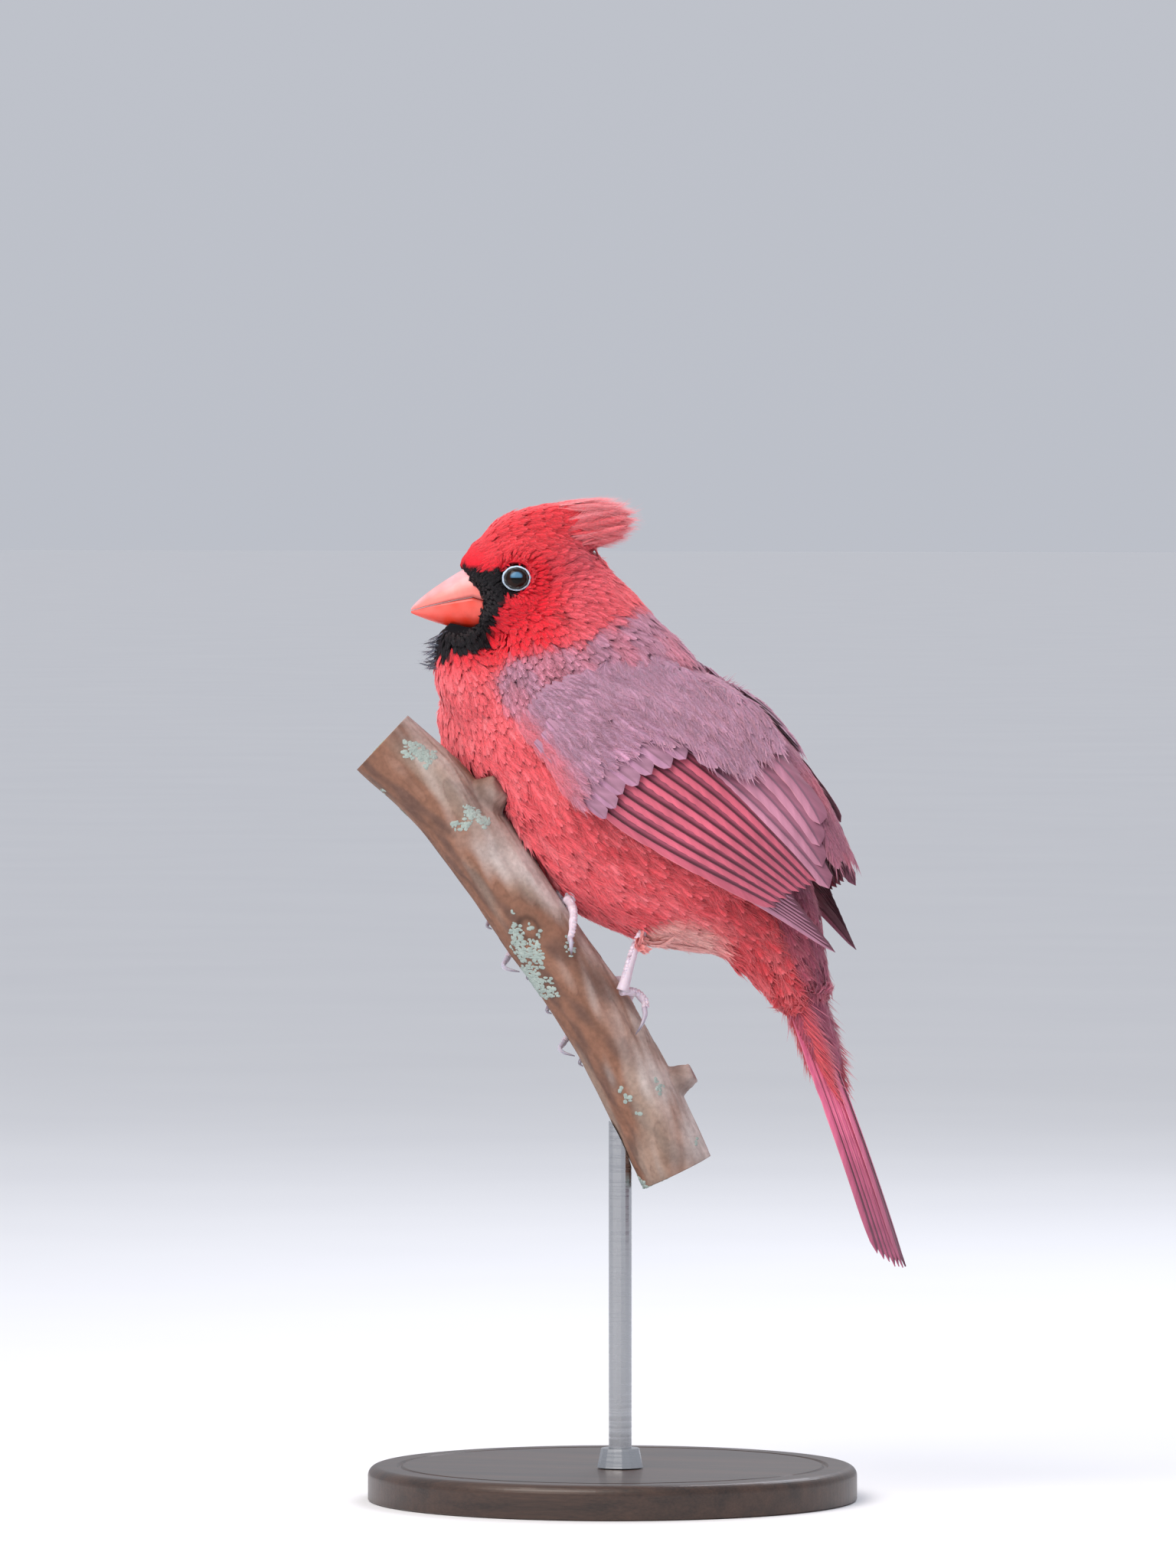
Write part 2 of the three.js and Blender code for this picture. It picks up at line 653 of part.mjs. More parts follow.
// Stand: a turned disc with a rounded edge and one upright rod.
const discProfile = [
  [0, 0],
  [BASE_RADIUS, 0],
  [BASE_RADIUS, BASE_HEIGHT - 2],
  [BASE_RADIUS - 2, BASE_HEIGHT],
  [0, BASE_HEIGHT],
].map(([r, z]) => new THREE.Vector2(r, z));
const disc = new THREE.LatheGeometry(discProfile, 30).rotateX(Math.PI / 2);
show("stand_base", solidOf(disc), STAND_WOOD);
const rodFoot = onBranchPlane([ROD_ALONG, BASE_HEIGHT + GAP]);
const upright = (height, top, foot) => {
  const shaft = new THREE.CylinderGeometry(top, foot, height, 16).rotateX(Math.PI / 2);
  return solidOf(shaft.translate(rodFoot.x, rodFoot.y, rodFoot.z + height / 2));
};
const rod = upright(ROD_TOP - rodFoot.z, ROD_RADIUS, ROD_RADIUS);
const collar = upright(COLLAR.height, COLLAR.top, COLLAR.foot);
show("stand_rod", rod.add(collar).subtract(branchWide), STAND_STEEL);

export default model;
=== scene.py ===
# %% [markdown]
# A male northern cardinal, life size, on a cut length of branch that a rod holds over a wooden disc.
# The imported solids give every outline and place. This lesson grows the looks round them:
# first the camera, then one skin inside the bird's solids, then the coat on that skin, feather by
# feather, then the wings, the tail, the head's hard parts, the feet, the bark and the stand.

# %% Load the frame
import math

import bmesh
import bpy
import numpy as np
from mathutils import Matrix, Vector
from mathutils.bvhtree import BVHTree


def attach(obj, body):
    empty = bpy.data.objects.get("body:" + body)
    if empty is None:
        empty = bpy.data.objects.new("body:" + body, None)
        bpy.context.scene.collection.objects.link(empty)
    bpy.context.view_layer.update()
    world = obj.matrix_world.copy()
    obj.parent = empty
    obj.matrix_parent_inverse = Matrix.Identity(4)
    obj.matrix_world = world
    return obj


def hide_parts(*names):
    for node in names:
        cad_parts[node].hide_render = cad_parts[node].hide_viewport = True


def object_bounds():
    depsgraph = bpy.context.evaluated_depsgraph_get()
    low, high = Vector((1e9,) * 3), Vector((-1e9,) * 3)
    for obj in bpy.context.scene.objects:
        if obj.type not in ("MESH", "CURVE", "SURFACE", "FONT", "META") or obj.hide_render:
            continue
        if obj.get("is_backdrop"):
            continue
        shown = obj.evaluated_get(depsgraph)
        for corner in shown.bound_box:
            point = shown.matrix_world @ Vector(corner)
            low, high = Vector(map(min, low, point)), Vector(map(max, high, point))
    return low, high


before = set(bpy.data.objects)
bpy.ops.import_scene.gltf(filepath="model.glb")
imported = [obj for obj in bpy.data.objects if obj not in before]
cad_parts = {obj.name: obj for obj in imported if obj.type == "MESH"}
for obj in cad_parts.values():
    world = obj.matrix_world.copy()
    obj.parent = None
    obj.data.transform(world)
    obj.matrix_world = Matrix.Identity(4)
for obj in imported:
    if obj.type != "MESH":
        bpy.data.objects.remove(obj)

MM = 0.001
cad_low, cad_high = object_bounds()
print("the solids' box in mm:", [round(c / MM) for c in (*cad_low, *cad_high)])

# %% [markdown]
# The photograph was taken with a long lens, level with the bird, from its left and a little behind.
# A long lens flattens depth, so one photograph pixel is the same length all over the bird.
# Naming that length once lets a place in the picture be written as millimetres in the same plane.

# %% Camera
PIXELS_PER_MM = 5.0
PICTURE_WIDTH, PICTURE_HEIGHT = 1536, 2048
ORIGIN_PIXEL = (800, 1960)          # where the middle of the stand's underside falls in the picture
LOOK_TURN = math.radians(18)        # the camera stands this far round towards the tail
CAMERA_TILT = math.radians(1.5)
CAMERA_DISTANCE = 3.0
ACROSS = np.array([math.cos(LOOK_TURN), math.sin(LOOK_TURN), 0.0])
AWAY = np.array([-math.sin(LOOK_TURN), math.cos(LOOK_TURN), 0.0])
UPWARD = np.array([0, 0, 1.0])
SIDEWAYS = np.array([0, 1.0, 0])


def pixel_plane(x, y):
    """A pixel of the picture as (across, up) in mm, in the plane through the origin."""
    return (x - ORIGIN_PIXEL[0]) / PIXELS_PER_MM, (ORIGIN_PIXEL[1] - y) / PIXELS_PER_MM


def link(made):
    bpy.context.scene.collection.objects.link(made)
    return made


def make_camera():
    """A long lens aimed so that the picture's middle pixel falls where it does in the photograph."""
    across, up = pixel_plane(PICTURE_WIDTH / 2, PICTURE_HEIGHT / 2)
    target = ACROSS * across * MM + np.array([0, 0, up * MM])
    back = -AWAY * math.cos(CAMERA_TILT) + np.array([0, 0, math.sin(CAMERA_TILT)])
    data = bpy.data.cameras.new("camera")
    data.sensor_fit = "HORIZONTAL"
    data.sensor_width = 36
    data.lens = 36 * CAMERA_DISTANCE / (PICTURE_WIDTH / PIXELS_PER_MM * MM)
    data.clip_end = 200
    camera = bpy.data.objects.new("camera", data)
    camera.location = Vector(target + back * CAMERA_DISTANCE)
    camera.rotation_euler = Vector(-back).to_track_quat("-Z", "Y").to_euler()
    link(camera)
    bpy.context.scene.camera = camera
    return camera


camera = make_camera()
print("lens", round(camera.data.lens), "mm at", CAMERA_DISTANCE, "m")

# %% [markdown]
# Every colour below is an sRGB hex value as a painter would pick it. Shaders and attributes want
# linear light, so one function turns them. One more function adds a node with its settings and links.

# %% Colour and node helpers
def linear(code):
    """An sRGB hex colour as linear red, green and blue."""
    value = np.array([int(code[i:i + 2], 16) for i in (1, 3, 5)]) / 255
    return np.where(value <= 0.04045, value / 12.92, ((value + 0.055) / 1.055) ** 2.4)


def rgba(code):
    return (*linear(code), 1.0)


def add(tree, kind, inputs=None, **settings):
    """One node: settings are its properties, inputs maps sockets to values or to other outputs."""
    made = tree.nodes.new(kind)
    for name, value in settings.items():
        setattr(made, name, value)
    for name, value in (inputs or {}).items():
        if isinstance(value, bpy.types.NodeSocket):
            tree.links.new(value, made.inputs[name])
        else:
            made.inputs[name].default_value = value
    return made


def new_material(name):
    """An empty material with its output, ready for a surface."""
    material = bpy.data.materials.new(name)
    material.use_nodes = True
    material.node_tree.nodes.clear()
    return material, material.node_tree


def shade(tree, inputs):
    """Ends a material with one Principled surface."""
    shader = add(tree, "ShaderNodeBsdfPrincipled", inputs)
    add(tree, "ShaderNodeOutputMaterial", {"Surface": shader.outputs[0]})


def noise(tree, scale, **inputs):
    """Noise in the object's own metres, or in the coordinates given as Vector."""
    if "Vector" not in inputs:
        inputs["Vector"] = add(tree, "ShaderNodeTexCoord").outputs["Object"]
    return add(tree, "ShaderNodeTexNoise", {"Scale": scale, **inputs}).outputs["Fac"]


def math_of(tree, operation, *values):
    return add(tree, "ShaderNodeMath", dict(enumerate(values)), operation=operation).outputs["Value"]


def span(tree, value, *limits):
    """The value, taken from the first two limits to the next two, or to 0 and 1."""
    names = ("From Min", "From Max", "To Min", "To Max")
    return add(tree, "ShaderNodeMapRange", {"Value": value, **dict(zip(names, limits))}).outputs["Result"]


def two_tone(tree, share, dark, light):
    return add(tree, "ShaderNodeMix", {"Factor": share, 6: rgba(dark), 7: rgba(light)},
               data_type="RGBA").outputs[2]


def relief(tree, height, strength, depth_mm):
    return add(tree, "ShaderNodeBump", {
        "Height": height, "Strength": strength, "Distance": depth_mm * MM}).outputs["Normal"]


def painted(tree, pattern, limits, strength, depth_mm, inputs):
    """A surface with the mesh's own paint, shaded by a pattern that also stands as relief."""
    paint = add(tree, "ShaderNodeAttribute", attribute_name="Paint")
    mixed = add(tree, "ShaderNodeVectorMath", {
        0: paint.outputs["Color"], "Scale": span(tree, pattern, *limits)}, operation="SCALE")
    shade(tree, {"Base Color": mixed.outputs["Vector"],
                 "Normal": relief(tree, pattern, strength, depth_mm), **inputs})


def smooth(low, high, x):
    """0 below low, 1 above high, and an even turn between."""
    t = np.clip((x - low) / (high - low), 0, 1)
    return t * t * (3 - 2 * t)


print("pure red is", linear("#ff0000"))

# %% [markdown]
# Plumage carries its colour in the mesh, one colour for each corner of each barb, so a black mask
# can end within a feather's width. The feather material only reads that colour. Barbs are matt and
# scatter light off thousands of tiny branches, which Principled's sheen gives as a soft bloom at the rim.

# %% Plumage materials
def feather_material(name, roughness, sheen, bump_scale_mm, bump):
    """Feather vane, matt: painted from the mesh, with faint mottling at a barb's width."""
    material, tree = new_material(name)
    grain = noise(tree, 1 / (bump_scale_mm * MM), Detail=2.0)
    painted(tree, grain, (0.3, 0.7, 0.86, 1.1), bump, 0.2, {
        "Roughness": roughness, "Sheen Weight": sheen, "Sheen Roughness": 0.5,
        "Specular IOR Level": 0.2, "Subsurface Weight": 0.25, "Subsurface Radius": (1.0, 0.5, 0.5),
        "Subsurface Scale": 1.0 * MM})
    return material


CONTOUR = feather_material("contour_feather_soft", 0.8, 0.15, 0.5, 0.15)
SKIN_UNDER = feather_material("down_and_skin_matt", 0.9, 0.0, 0.4, 0.3)
print("made", CONTOUR.name, "and", SKIN_UNDER.name)

# %% [markdown]
# A curve through a handful of points is the maker's template for a branch, a toe or a wing's edge.
# This is the same centripetal curve that the solids were drawn with, so both agree to a hair.

# %% Curves
class Line:
    """A centripetal Catmull-Rom curve through points, in mm."""

    def __init__(self, points):
        p = np.array(points, float)
        self.knots = np.vstack([2 * p[0] - p[1], p, 2 * p[-1] - p[-2]])
        self.spans = len(p) - 1
        steps = np.linspace(0, 1, 801)
        places = self.at(steps)
        reach = np.r_[0, np.cumsum(np.linalg.norm(np.diff(places, axis=0), axis=1))]
        self.length = reach[-1]
        self._steps, self._reach = steps, reach / reach[-1]

    def at(self, t):
        """Places at t, 0 to 1, with each span between two points taking the same share of t."""
        t = np.clip(np.atleast_1d(t).astype(float), 0, 1) * self.spans
        span = np.minimum(t.astype(int), self.spans - 1)
        w = (t - span)[:, None]
        a, b, c, d = (self.knots[span + k] for k in range(4))
        gap = [np.linalg.norm(v, axis=1)[:, None] ** 0.5 for v in (b - a, c - b, d - c)]
        start = ((b - a) / gap[0] - (c - a) / (gap[0] + gap[1]) + (c - b) / gap[1]) * gap[1]
        end = ((c - b) / gap[1] - (d - b) / (gap[1] + gap[2]) + (d - c) / gap[2]) * gap[1]
        return (b + start * w + (-3 * b + 3 * c - 2 * start - end) * w ** 2
                + (2 * b - 2 * c + start + end) * w ** 3)

    def along(self, s):
        """Places at s, 0 to 1, evenly by length."""
        return self.at(np.interp(np.atleast_1d(s), self._reach, self._steps))

    def tangent(self, s):
        s = np.atleast_1d(s)
        ahead = self.along(np.minimum(s + 1e-3, 1)) - self.along(np.maximum(s - 1e-3, 0))
        return unit(ahead)


def unit(v):
    return v / np.maximum(np.linalg.norm(v, axis=-1, keepdims=True), 1e-9)


def dot(a, b):
    return np.sum(a * b, axis=-1, keepdims=True)


# The branch: its middle line, and a place by its bark.
BRANCH_DEPTH = -10
BRANCH_RADIUS = 10
BRANCH_LINE = [(-60, 198.2), (-43.8, 183), (-32.2, 168.2), (-18.4, 148),
               (-7.3, 132), (1.2, 117.6), (9.9, 101), (17, 86.5)]


def on_branch_plane(across, up, depth=BRANCH_DEPTH):
    return ACROSS * across + AWAY * depth + np.array([0, 0, up])


branch = Line([on_branch_plane(*p) for p in BRANCH_LINE])


def branch_radius(t, angle):
    return (BRANCH_RADIUS * (0.985 + 0.025 * np.sin(9 * t))
            + 0.2 * np.sin(3 * np.radians(angle) + 11 * t))


def around_branch(t, angle, height):
    """A place by the branch: t along it, degrees round it from its upper side, mm above its bark."""
    t, angle, height = np.broadcast_arrays(*(np.atleast_1d(v).astype(float) for v in (t, angle, height)))
    up = unit(np.cross(-AWAY, branch.tangent(t)))
    up = np.where(up[:, 2:] < 0, -up, up)
    out = (branch_radius(t, angle) + height)[:, None]
    turn = np.radians(angle)[:, None]
    return branch.along(t) + out * (up * np.cos(turn) - AWAY * np.sin(turn))


print("the branch is", round(branch.length), "mm long")

# %% [markdown]
# Meshes are made straight from arrays, which is quick even for a million faces. Each piece is given
# its colours, its map and its material at once, and rides on the frame's one body.

# %% Mesh helpers
def make_mesh(name, vertices, faces, material, paint=None, shade_smooth=False, uv=None):
    """A mesh object from arrays in mm. faces is one array, or a list of arrays, of equal-sided faces."""
    groups = [np.asarray(f, np.int32) for f in (faces if isinstance(faces, list) else [faces])]
    vertices = np.asarray(vertices, float).reshape(-1, 3)
    mesh = bpy.data.meshes.new(name)
    mesh.vertices.add(len(vertices))
    mesh.vertices.foreach_set("co", (vertices * MM).astype(np.float32).ravel())
    corners = np.concatenate([g.ravel() for g in groups])
    totals = np.concatenate([np.full(len(g), g.shape[1], np.int32) for g in groups])
    starts = np.r_[0, np.cumsum(totals)[:-1]].astype(np.int32)
    mesh.loops.add(len(corners))
    mesh.loops.foreach_set("vertex_index", corners)
    mesh.polygons.add(len(totals))
    mesh.polygons.foreach_set("loop_start", starts)
    mesh.polygons.foreach_set("use_smooth", np.full(len(totals), shade_smooth))
    mesh.update(calc_edges=True)
    if paint is not None:
        set_paint(mesh, paint)
    if uv is not None:
        layer = mesh.uv_layers.new(name=uv[0])
        layer.uv.foreach_set("vector", uv[1][corners].astype(np.float32).ravel())
    mesh.validate()
    made = bpy.data.objects.new(name, mesh)
    link(made)
    made.data.materials.append(material)
    return made


def set_paint(mesh, paint):
    layer = mesh.color_attributes.new("Paint", "FLOAT_COLOR", "POINT")
    full = np.ones((len(mesh.vertices), 4), np.float32)
    full[:, :3] = np.clip(paint, 0, 1)
    layer.data.foreach_set("color", full.ravel())


def finish_piece(piece, slot, *nodes):
    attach(piece, "root")
    if nodes:
        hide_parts(*nodes)
    return piece


def coordinates(mesh):
    """A mesh's vertices in mm."""
    co = np.zeros(len(mesh.vertices) * 3, np.float32)
    mesh.vertices.foreach_get("co", co)
    return co.reshape(-1, 3).astype(float) / MM


def triangles(mesh):
    mesh.calc_loop_triangles()
    index = np.zeros(len(mesh.loop_triangles) * 3, np.int32)
    mesh.loop_triangles.foreach_get("vertices", index)
    return index.reshape(-1, 3)


# %% [markdown]
# Under the feathers a bird is one body. The solids are parted at the neck and the hips, so here
# copies of them are swollen by a hair to close the cuts, fused by a voxel remesh, smoothed, and
# pulled in by the depth of the coat, which is thin on the face and deeper on the breast.

# %% One skin
FLESH = ["head", "crest", "neck", "trunk", "rump", "thigh_left", "thigh_right"]
SWELL = 0.28
VOXEL = 1.0
SMOOTHING_STEPS = 6
EYE_AT = (-25.3, 241.0)            # across and up, in the picture's plane
BILL_BASE = (-38.5, 236.0)
HEAD_MIDDLE_DEPTH = 2.47           # the turned head's own middle plane, away from the camera


def inside(outline_points, x, y):
    """How far places are inside an outline, in mm; outside is negative."""
    corners = np.array(outline_points, float)
    nearest = np.full(len(x), 1e9)
    odd = np.zeros(len(x), bool)
    for (ax, ay), (bx, by) in zip(corners, np.roll(corners, -1, axis=0)):
        t = np.clip(((x - ax) * (bx - ax) + (y - ay) * (by - ay)) / ((bx - ax) ** 2 + (by - ay) ** 2), 0, 1)
        nearest = np.minimum(nearest, np.hypot(x - ax - t * (bx - ax), y - ay - t * (by - ay)))
        crosses = (ay > y) != (by > y)
        with np.errstate(divide="ignore", invalid="ignore"):
            odd ^= crosses & (x < (bx - ax) * (y - ay) / (by - ay) + ax)
    return np.where(odd, nearest, -nearest)


def head_place(p):
    """Across, up and off the head's middle plane, in mm."""
    return p @ ACROSS, p[:, 2], p @ AWAY - HEAD_MIDDLE_DEPTH


def from_bill(across, up):
    """Distance from the bill's base in the head's own plane."""
    return np.hypot(across - BILL_BASE[0], up - BILL_BASE[1])


def apply_modifiers(made):
    """The object with its evaluated mesh as a plain mesh, and no modifier."""
    mesh = bpy.data.meshes.new_from_object(made.evaluated_get(bpy.context.evaluated_depsgraph_get()))
    made.modifiers.clear()
    made.data = mesh
    return made


def fused_flesh():
    """The flesh solids as one closed mesh on the outline."""
    whole = bmesh.new()
    for name in FLESH:
        part = bmesh.new()
        part.from_mesh(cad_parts[name].data)
        bmesh.ops.remove_doubles(part, verts=part.verts, dist=0.02 * MM)
        part.normal_update()
        for vertex in part.verts:
            vertex.co += vertex.normal * SWELL * MM
        spare = bpy.data.meshes.new("part")
        part.to_mesh(spare)
        part.free()
        whole.from_mesh(spare)
        bpy.data.meshes.remove(spare)
    mesh = bpy.data.meshes.new("skin")
    whole.to_mesh(mesh)
    whole.free()
    made = bpy.data.objects.new("skin", mesh)
    link(made)
    remesh = made.modifiers.new("fuse", "REMESH")
    remesh.mode = "VOXEL"
    remesh.voxel_size = VOXEL * MM
    soften = made.modifiers.new("soften", "SMOOTH")
    soften.factor = 0.5
    soften.iterations = SMOOTHING_STEPS
    keep_largest(apply_modifiers(made).data)
    return made


def keep_largest(mesh):
    """Drops the crumbs that the fusing leaves at thin tips."""
    whole = bmesh.new()
    whole.from_mesh(mesh)
    whole.verts.ensure_lookup_table()
    island = [-1] * len(whole.verts)
    sizes = []
    for start in whole.verts:
        if island[start.index] >= 0:
            continue
        island[start.index] = len(sizes)
        front, size = [start], 0
        while front:
            vertex = front.pop()
            size += 1
            for edge in vertex.link_edges:
                other = edge.other_vert(vertex)
                if island[other.index] < 0:
                    island[other.index] = len(sizes)
                    front.append(other)
        sizes.append(size)
    largest = sizes.index(max(sizes))
    crumbs = [vertex for vertex in whole.verts if island[vertex.index] != largest]
    bmesh.ops.delete(whole, geom=crumbs, context="VERTS")
    whole.to_mesh(mesh)
    whole.free()


def coat_depth(p):
    """How deep the coat is at places on the outline, in mm."""
    across, up, _ = head_place(p)
    from_face = from_bill(across, up)
    # A bare half millimetre at the face, about 1.5 on the neck and 2.4 on the body. The forehead's
    # solid falls short of the photographed outline, so the skin comes forward there.
    depth = 0.55 + 0.9 * smooth(6, 16, from_face) + 0.9 * smooth(26, 52, from_face)
    forehead = np.exp(-((across + 39) ** 2 + (up - 246.5) ** 2) / 22)
    return depth * (1 - 0.45 * smooth(148, 134, up)) - 2.1 * forehead


CREST_CORE = (-9, 247)             # behind and above this the crest's core is half as long
BILL_SHAPE = [(-56, 232), (-41, 243.4), (-37.4, 240.2), (-34.6, 236.8), (-33.8, 234), (-35.4, 228.4),
              (-39, 227), (-48, 227.6)]


def bill_half_width(t):
    """Half the bill's width in mm, at t, 0 at its tip and 1 at its base."""
    return 0.3 + 6.1 * np.sin(np.pi / 2 * t) ** 0.85


def make_room_for_bill(p):
    """Draws the face in beside the bill, so that the horn shows back to the gape, and the crest's
    core in behind the crown, so that its end is loose feathers alone."""
    across, up, side = head_place(p)
    t = np.clip((across + 52.6) / 19, 0.05, 1)
    most = bill_half_width(t) - 0.9 + 1.5 * np.maximum(0, -inside(BILL_SHAPE, across, up))
    trimmed = np.sign(side) * np.minimum(np.abs(side), most)
    moved = p + AWAY * np.where(across < -29, trimmed - side, 0)[:, None]
    crest = (across > CREST_CORE[0]) & (up > CREST_CORE[1])
    return moved - ACROSS * np.where(crest, (across - CREST_CORE[0]) * 0.5, 0)[:, None]


skin = fused_flesh()
outline = coordinates(skin.data)
normals = np.zeros(len(skin.data.vertices) * 3, np.float32)
skin.data.vertices.foreach_get("normal", normals)
normals = normals.reshape(-1, 3)
inner = make_room_for_bill(outline - normals * coat_depth(outline)[:, None])
skin.data.vertices.foreach_set("co", (inner * MM).astype(np.float32).ravel())
skin.data.update()
skin_faces = triangles(skin.data)
skin_tree = BVHTree.FromPolygons([tuple(v) for v in inner], [tuple(f) for f in skin_faces.tolist()])
print("the skin has", len(skin_faces), "triangles")

# %% [markdown]
# The plumage's colours, painted shade and painted highlights are laid on by place, once, for the skin
# and the coat alike. The black mask and bib are one outline in the picture's plane, because the head is
# turned square to the camera, and the mauve of the back is another. Both outlines fray a little, as feather
# tips do.

# %% Markings
CROWN_RED = linear("#f5434e")
CHEEK_RED = linear("#f01f33")
NAPE_PINK = linear("#f0707e")
BREAST_RED = linear("#f86b75")
BELLY_RED = linear("#f2606a")
# Painted shade: this deeper red darkens the plumage where shadow falls, in a crease, below the wing, under
# the tail and in streaks.
PAINTED_SHADE_RED = linear("#a5161f")
VENT_PALE = linear("#f0b6b0")
RUMP_DUSK = linear("#96506a")
MASK_BLACK = linear("#151218")
MANTLE_MAUVE = linear("#b98ba4")
BARB_PINK = linear("#ffb3ba")

MASK = [(-41, 244.6), (-37.6, 244.3), (-32.4, 243.6), (-28.8, 242.8), (-25.5, 243), (-22.6, 240.5),
        (-24.2, 237.4), (-27.2, 236.2), (-28.4, 233.2), (-29.4, 228.6), (-31.4, 226), (-31.8, 222.6),
        (-36, 221), (-43.2, 220), (-50, 217.6), (-54, 224), (-54, 236), (-48, 244)]
BACK = [(11, 234), (-2, 227), (-7.8, 223.4), (-14.8, 222.8), (-21.2, 221.4), (-27, 219.5),
        (-31, 214), (-28, 206), (-21, 200), (-5, 188), (20, 173), (36, 164), (43, 152), (48, 138),
        (53, 122), (57, 108), (80, 108), (95, 150), (75, 190), (40, 236)]


def wander(p, scale, seed):
    """A cheap smooth noise, about -1 to 1, whose patches are scale mm across."""
    draw = np.random.default_rng(seed)
    total = np.zeros(len(p))
    for _ in range(5):
        wave = draw.normal(size=3) * 2.2 / scale
        total += np.sin(p @ wave + draw.uniform(0, 6.28))
    return total / 2.2


def mix(a, b, t):
    return a + (b - a) * np.asarray(t)[..., None]


def fill(colour, *shape):
    """One colour over an array of this shape."""
    return np.tile(colour, (*shape, 1))


def vent_patch(along, up):
    return smooth(9, 4, np.hypot((along - 18) * 0.6, up - 145))


def markings_and_painted_light(p):
    """The plumage's colour at places in mm, with painted shade and painted highlights laid into it."""
    across, up, _ = head_place(p)
    near = p[:, 0] * ACROSS[0] - np.abs(p[:, 1]) * ACROSS[1]
    low = smooth(206, 176, up)
    colour = mix(BREAST_RED, BELLY_RED, low)
    head = smooth(212, 222, up) * smooth(14, -6, across)
    # Painted sheen: the crown is painted a lighter, pinker red than the cheek, where light falls from above.
    crown = smooth(243, 250, up)
    face = mix(CHEEK_RED, CROWN_RED, crown)
    nape = smooth(-18, -6, across) * smooth(256, 246, up)
    colour = mix(colour, mix(face, NAPE_PINK, 0.75 * nape), head)
    # Painted shade: a faint deeper red line in the crease across the cheek.
    crease_shade = np.hypot((across + 11.3) * 0.55 + (up - 230) * 0.75, ((across + 11.3) - (up - 230)) * 0.12)
    colour = mix(colour, PAINTED_SHADE_RED, 0.6 * smooth(1.3, 0.3, crease_shade) * head)
    # Painted shade: the belly just below the folded wing is painted deeper red, for the wing's shadow.
    under = smooth(164, 146, up) * smooth(20, 34, across)
    colour = mix(colour, PAINTED_SHADE_RED, 0.45 * under)
    colour = mix(colour, VENT_PALE, 0.9 * vent_patch(near, up))
    # Painted shade and painted highlight: random streaks darken the plumage to deeper red, for shadows
    # between the feathers, and lighten it to pink, for light on the barbs.
    shade_and_highlight_streak = wander(p, 5, 3) * 0.12 + wander(p, 2, 4) * 0.1
    colour = mix(colour, PAINTED_SHADE_RED, np.clip(shade_and_highlight_streak, 0, 1) * (1 - 0.6 * head))
    colour = mix(colour, BARB_PINK, np.clip(-shade_and_highlight_streak, 0, 1) * 0.8 * (1 - head))
    back = inside(BACK, near, up)
    mauve = mix(fill(MANTLE_MAUVE, len(p)), RUMP_DUSK, smooth(178, 152, up))
    mauve = mix(mauve, BREAST_RED, 0.22 * np.clip(0.3 + wander(p, 9, 8), 0, 1))
    colour = mix(colour, mauve * (1 + 0.1 * wander(p, 4, 5)[:, None]), smooth(-2, 2.5, back) * 0.92)
    mask = inside(MASK, across, up) + 0.5 * wander(p, 2.2, 6)
    return mix(colour, MASK_BLACK, smooth(-0.35, 0.35, mask))


# Painted shade: the skin under the coat is painted three quarters as bright as the feathers.
UNDER_SHADE = 0.75                  # painted shade: the skin between the feathers is painted darker, for the shadow there
set_paint(skin.data, markings_and_painted_light(inner) * UNDER_SHADE)
skin.data.materials.append(SKIN_UNDER)
skin.data.polygons.foreach_set("use_smooth", np.ones(len(skin.data.polygons), bool))
finish_piece(skin, "plumage_red", *FLESH)

# %% [markdown]
# The folded wing is a curved plate on the bird's flank. Three lines, along the back edge, the bend
# and the lower edge, carry it from the shoulder to the tip, and wherever it would sink in the flank
# it is lifted clear. Every quill is then laid out on this plate by how far along and down it lies.

# %% The wing's plate
WING_LINES = [
    Line([(12, -9, 217), (30, -6, 209), (44, -5, 196), (54, -5, 182), (61, -7.5, 166)]),
    Line([(-3, -28, 213), (16, -31, 199), (34, -27, 185), (48, -18, 170), (61, -9.5, 156)]),
    Line([(-13.6, -28, 200.2), (8, -31, 181), (28, -28, 168.5), (47, -20.5, 157.4), (62, -9.5, 145)]),
]
WING_STOPS = 61
WING_CLEAR = 1.6
U_FROM, U_TO = -0.06, 1.08
V_FROM, V_TO = -0.1, 1.1


def wing_plate():
    """The plate's places on an even grid, along and down, pushed clear of the skin and evened out."""
    u = np.linspace(U_FROM, U_TO, WING_STOPS)
    v = np.linspace(V_FROM, V_TO, WING_STOPS)
    inner_u = np.clip(u, 0, 1)
    lines = [line.at(inner_u) for line in WING_LINES]
    for line, places in zip(WING_LINES, lines):
        slope = line.at([0.0, 0.02, 0.98, 1.0])
        places += np.minimum(u, 0)[:, None] * (slope[1] - slope[0]) / 0.02
        places += np.maximum(u - 1, 0)[:, None] * (slope[3] - slope[2]) / 0.02
    a, b, c = (places[:, None, :] for places in lines)
    w = v[None, :, None]
    grid = a * (1 - w) * (1 - 2 * w) + b * 4 * w * (1 - w) + c * w * (2 * w - 1)
    for _ in range(3):
        for i in range(WING_STOPS):
            for j in range(WING_STOPS):
                spot, normal, _, _ = skin_tree.find_nearest(Vector(grid[i, j]))
                height = (Vector(grid[i, j]) - spot).dot(normal)
                if height < WING_CLEAR:
                    grid[i, j] = np.array(spot + normal * WING_CLEAR)
        for _ in range(3):
            even = grid.copy()
            even[1:-1] += 0.25 * (grid[2:] + grid[:-2] - 2 * grid[1:-1])
            even[:, 1:-1] += 0.25 * (grid[:, 2:] + grid[:, :-2] - 2 * grid[:, 1:-1])
            grid = even
    return grid


plate = wing_plate()


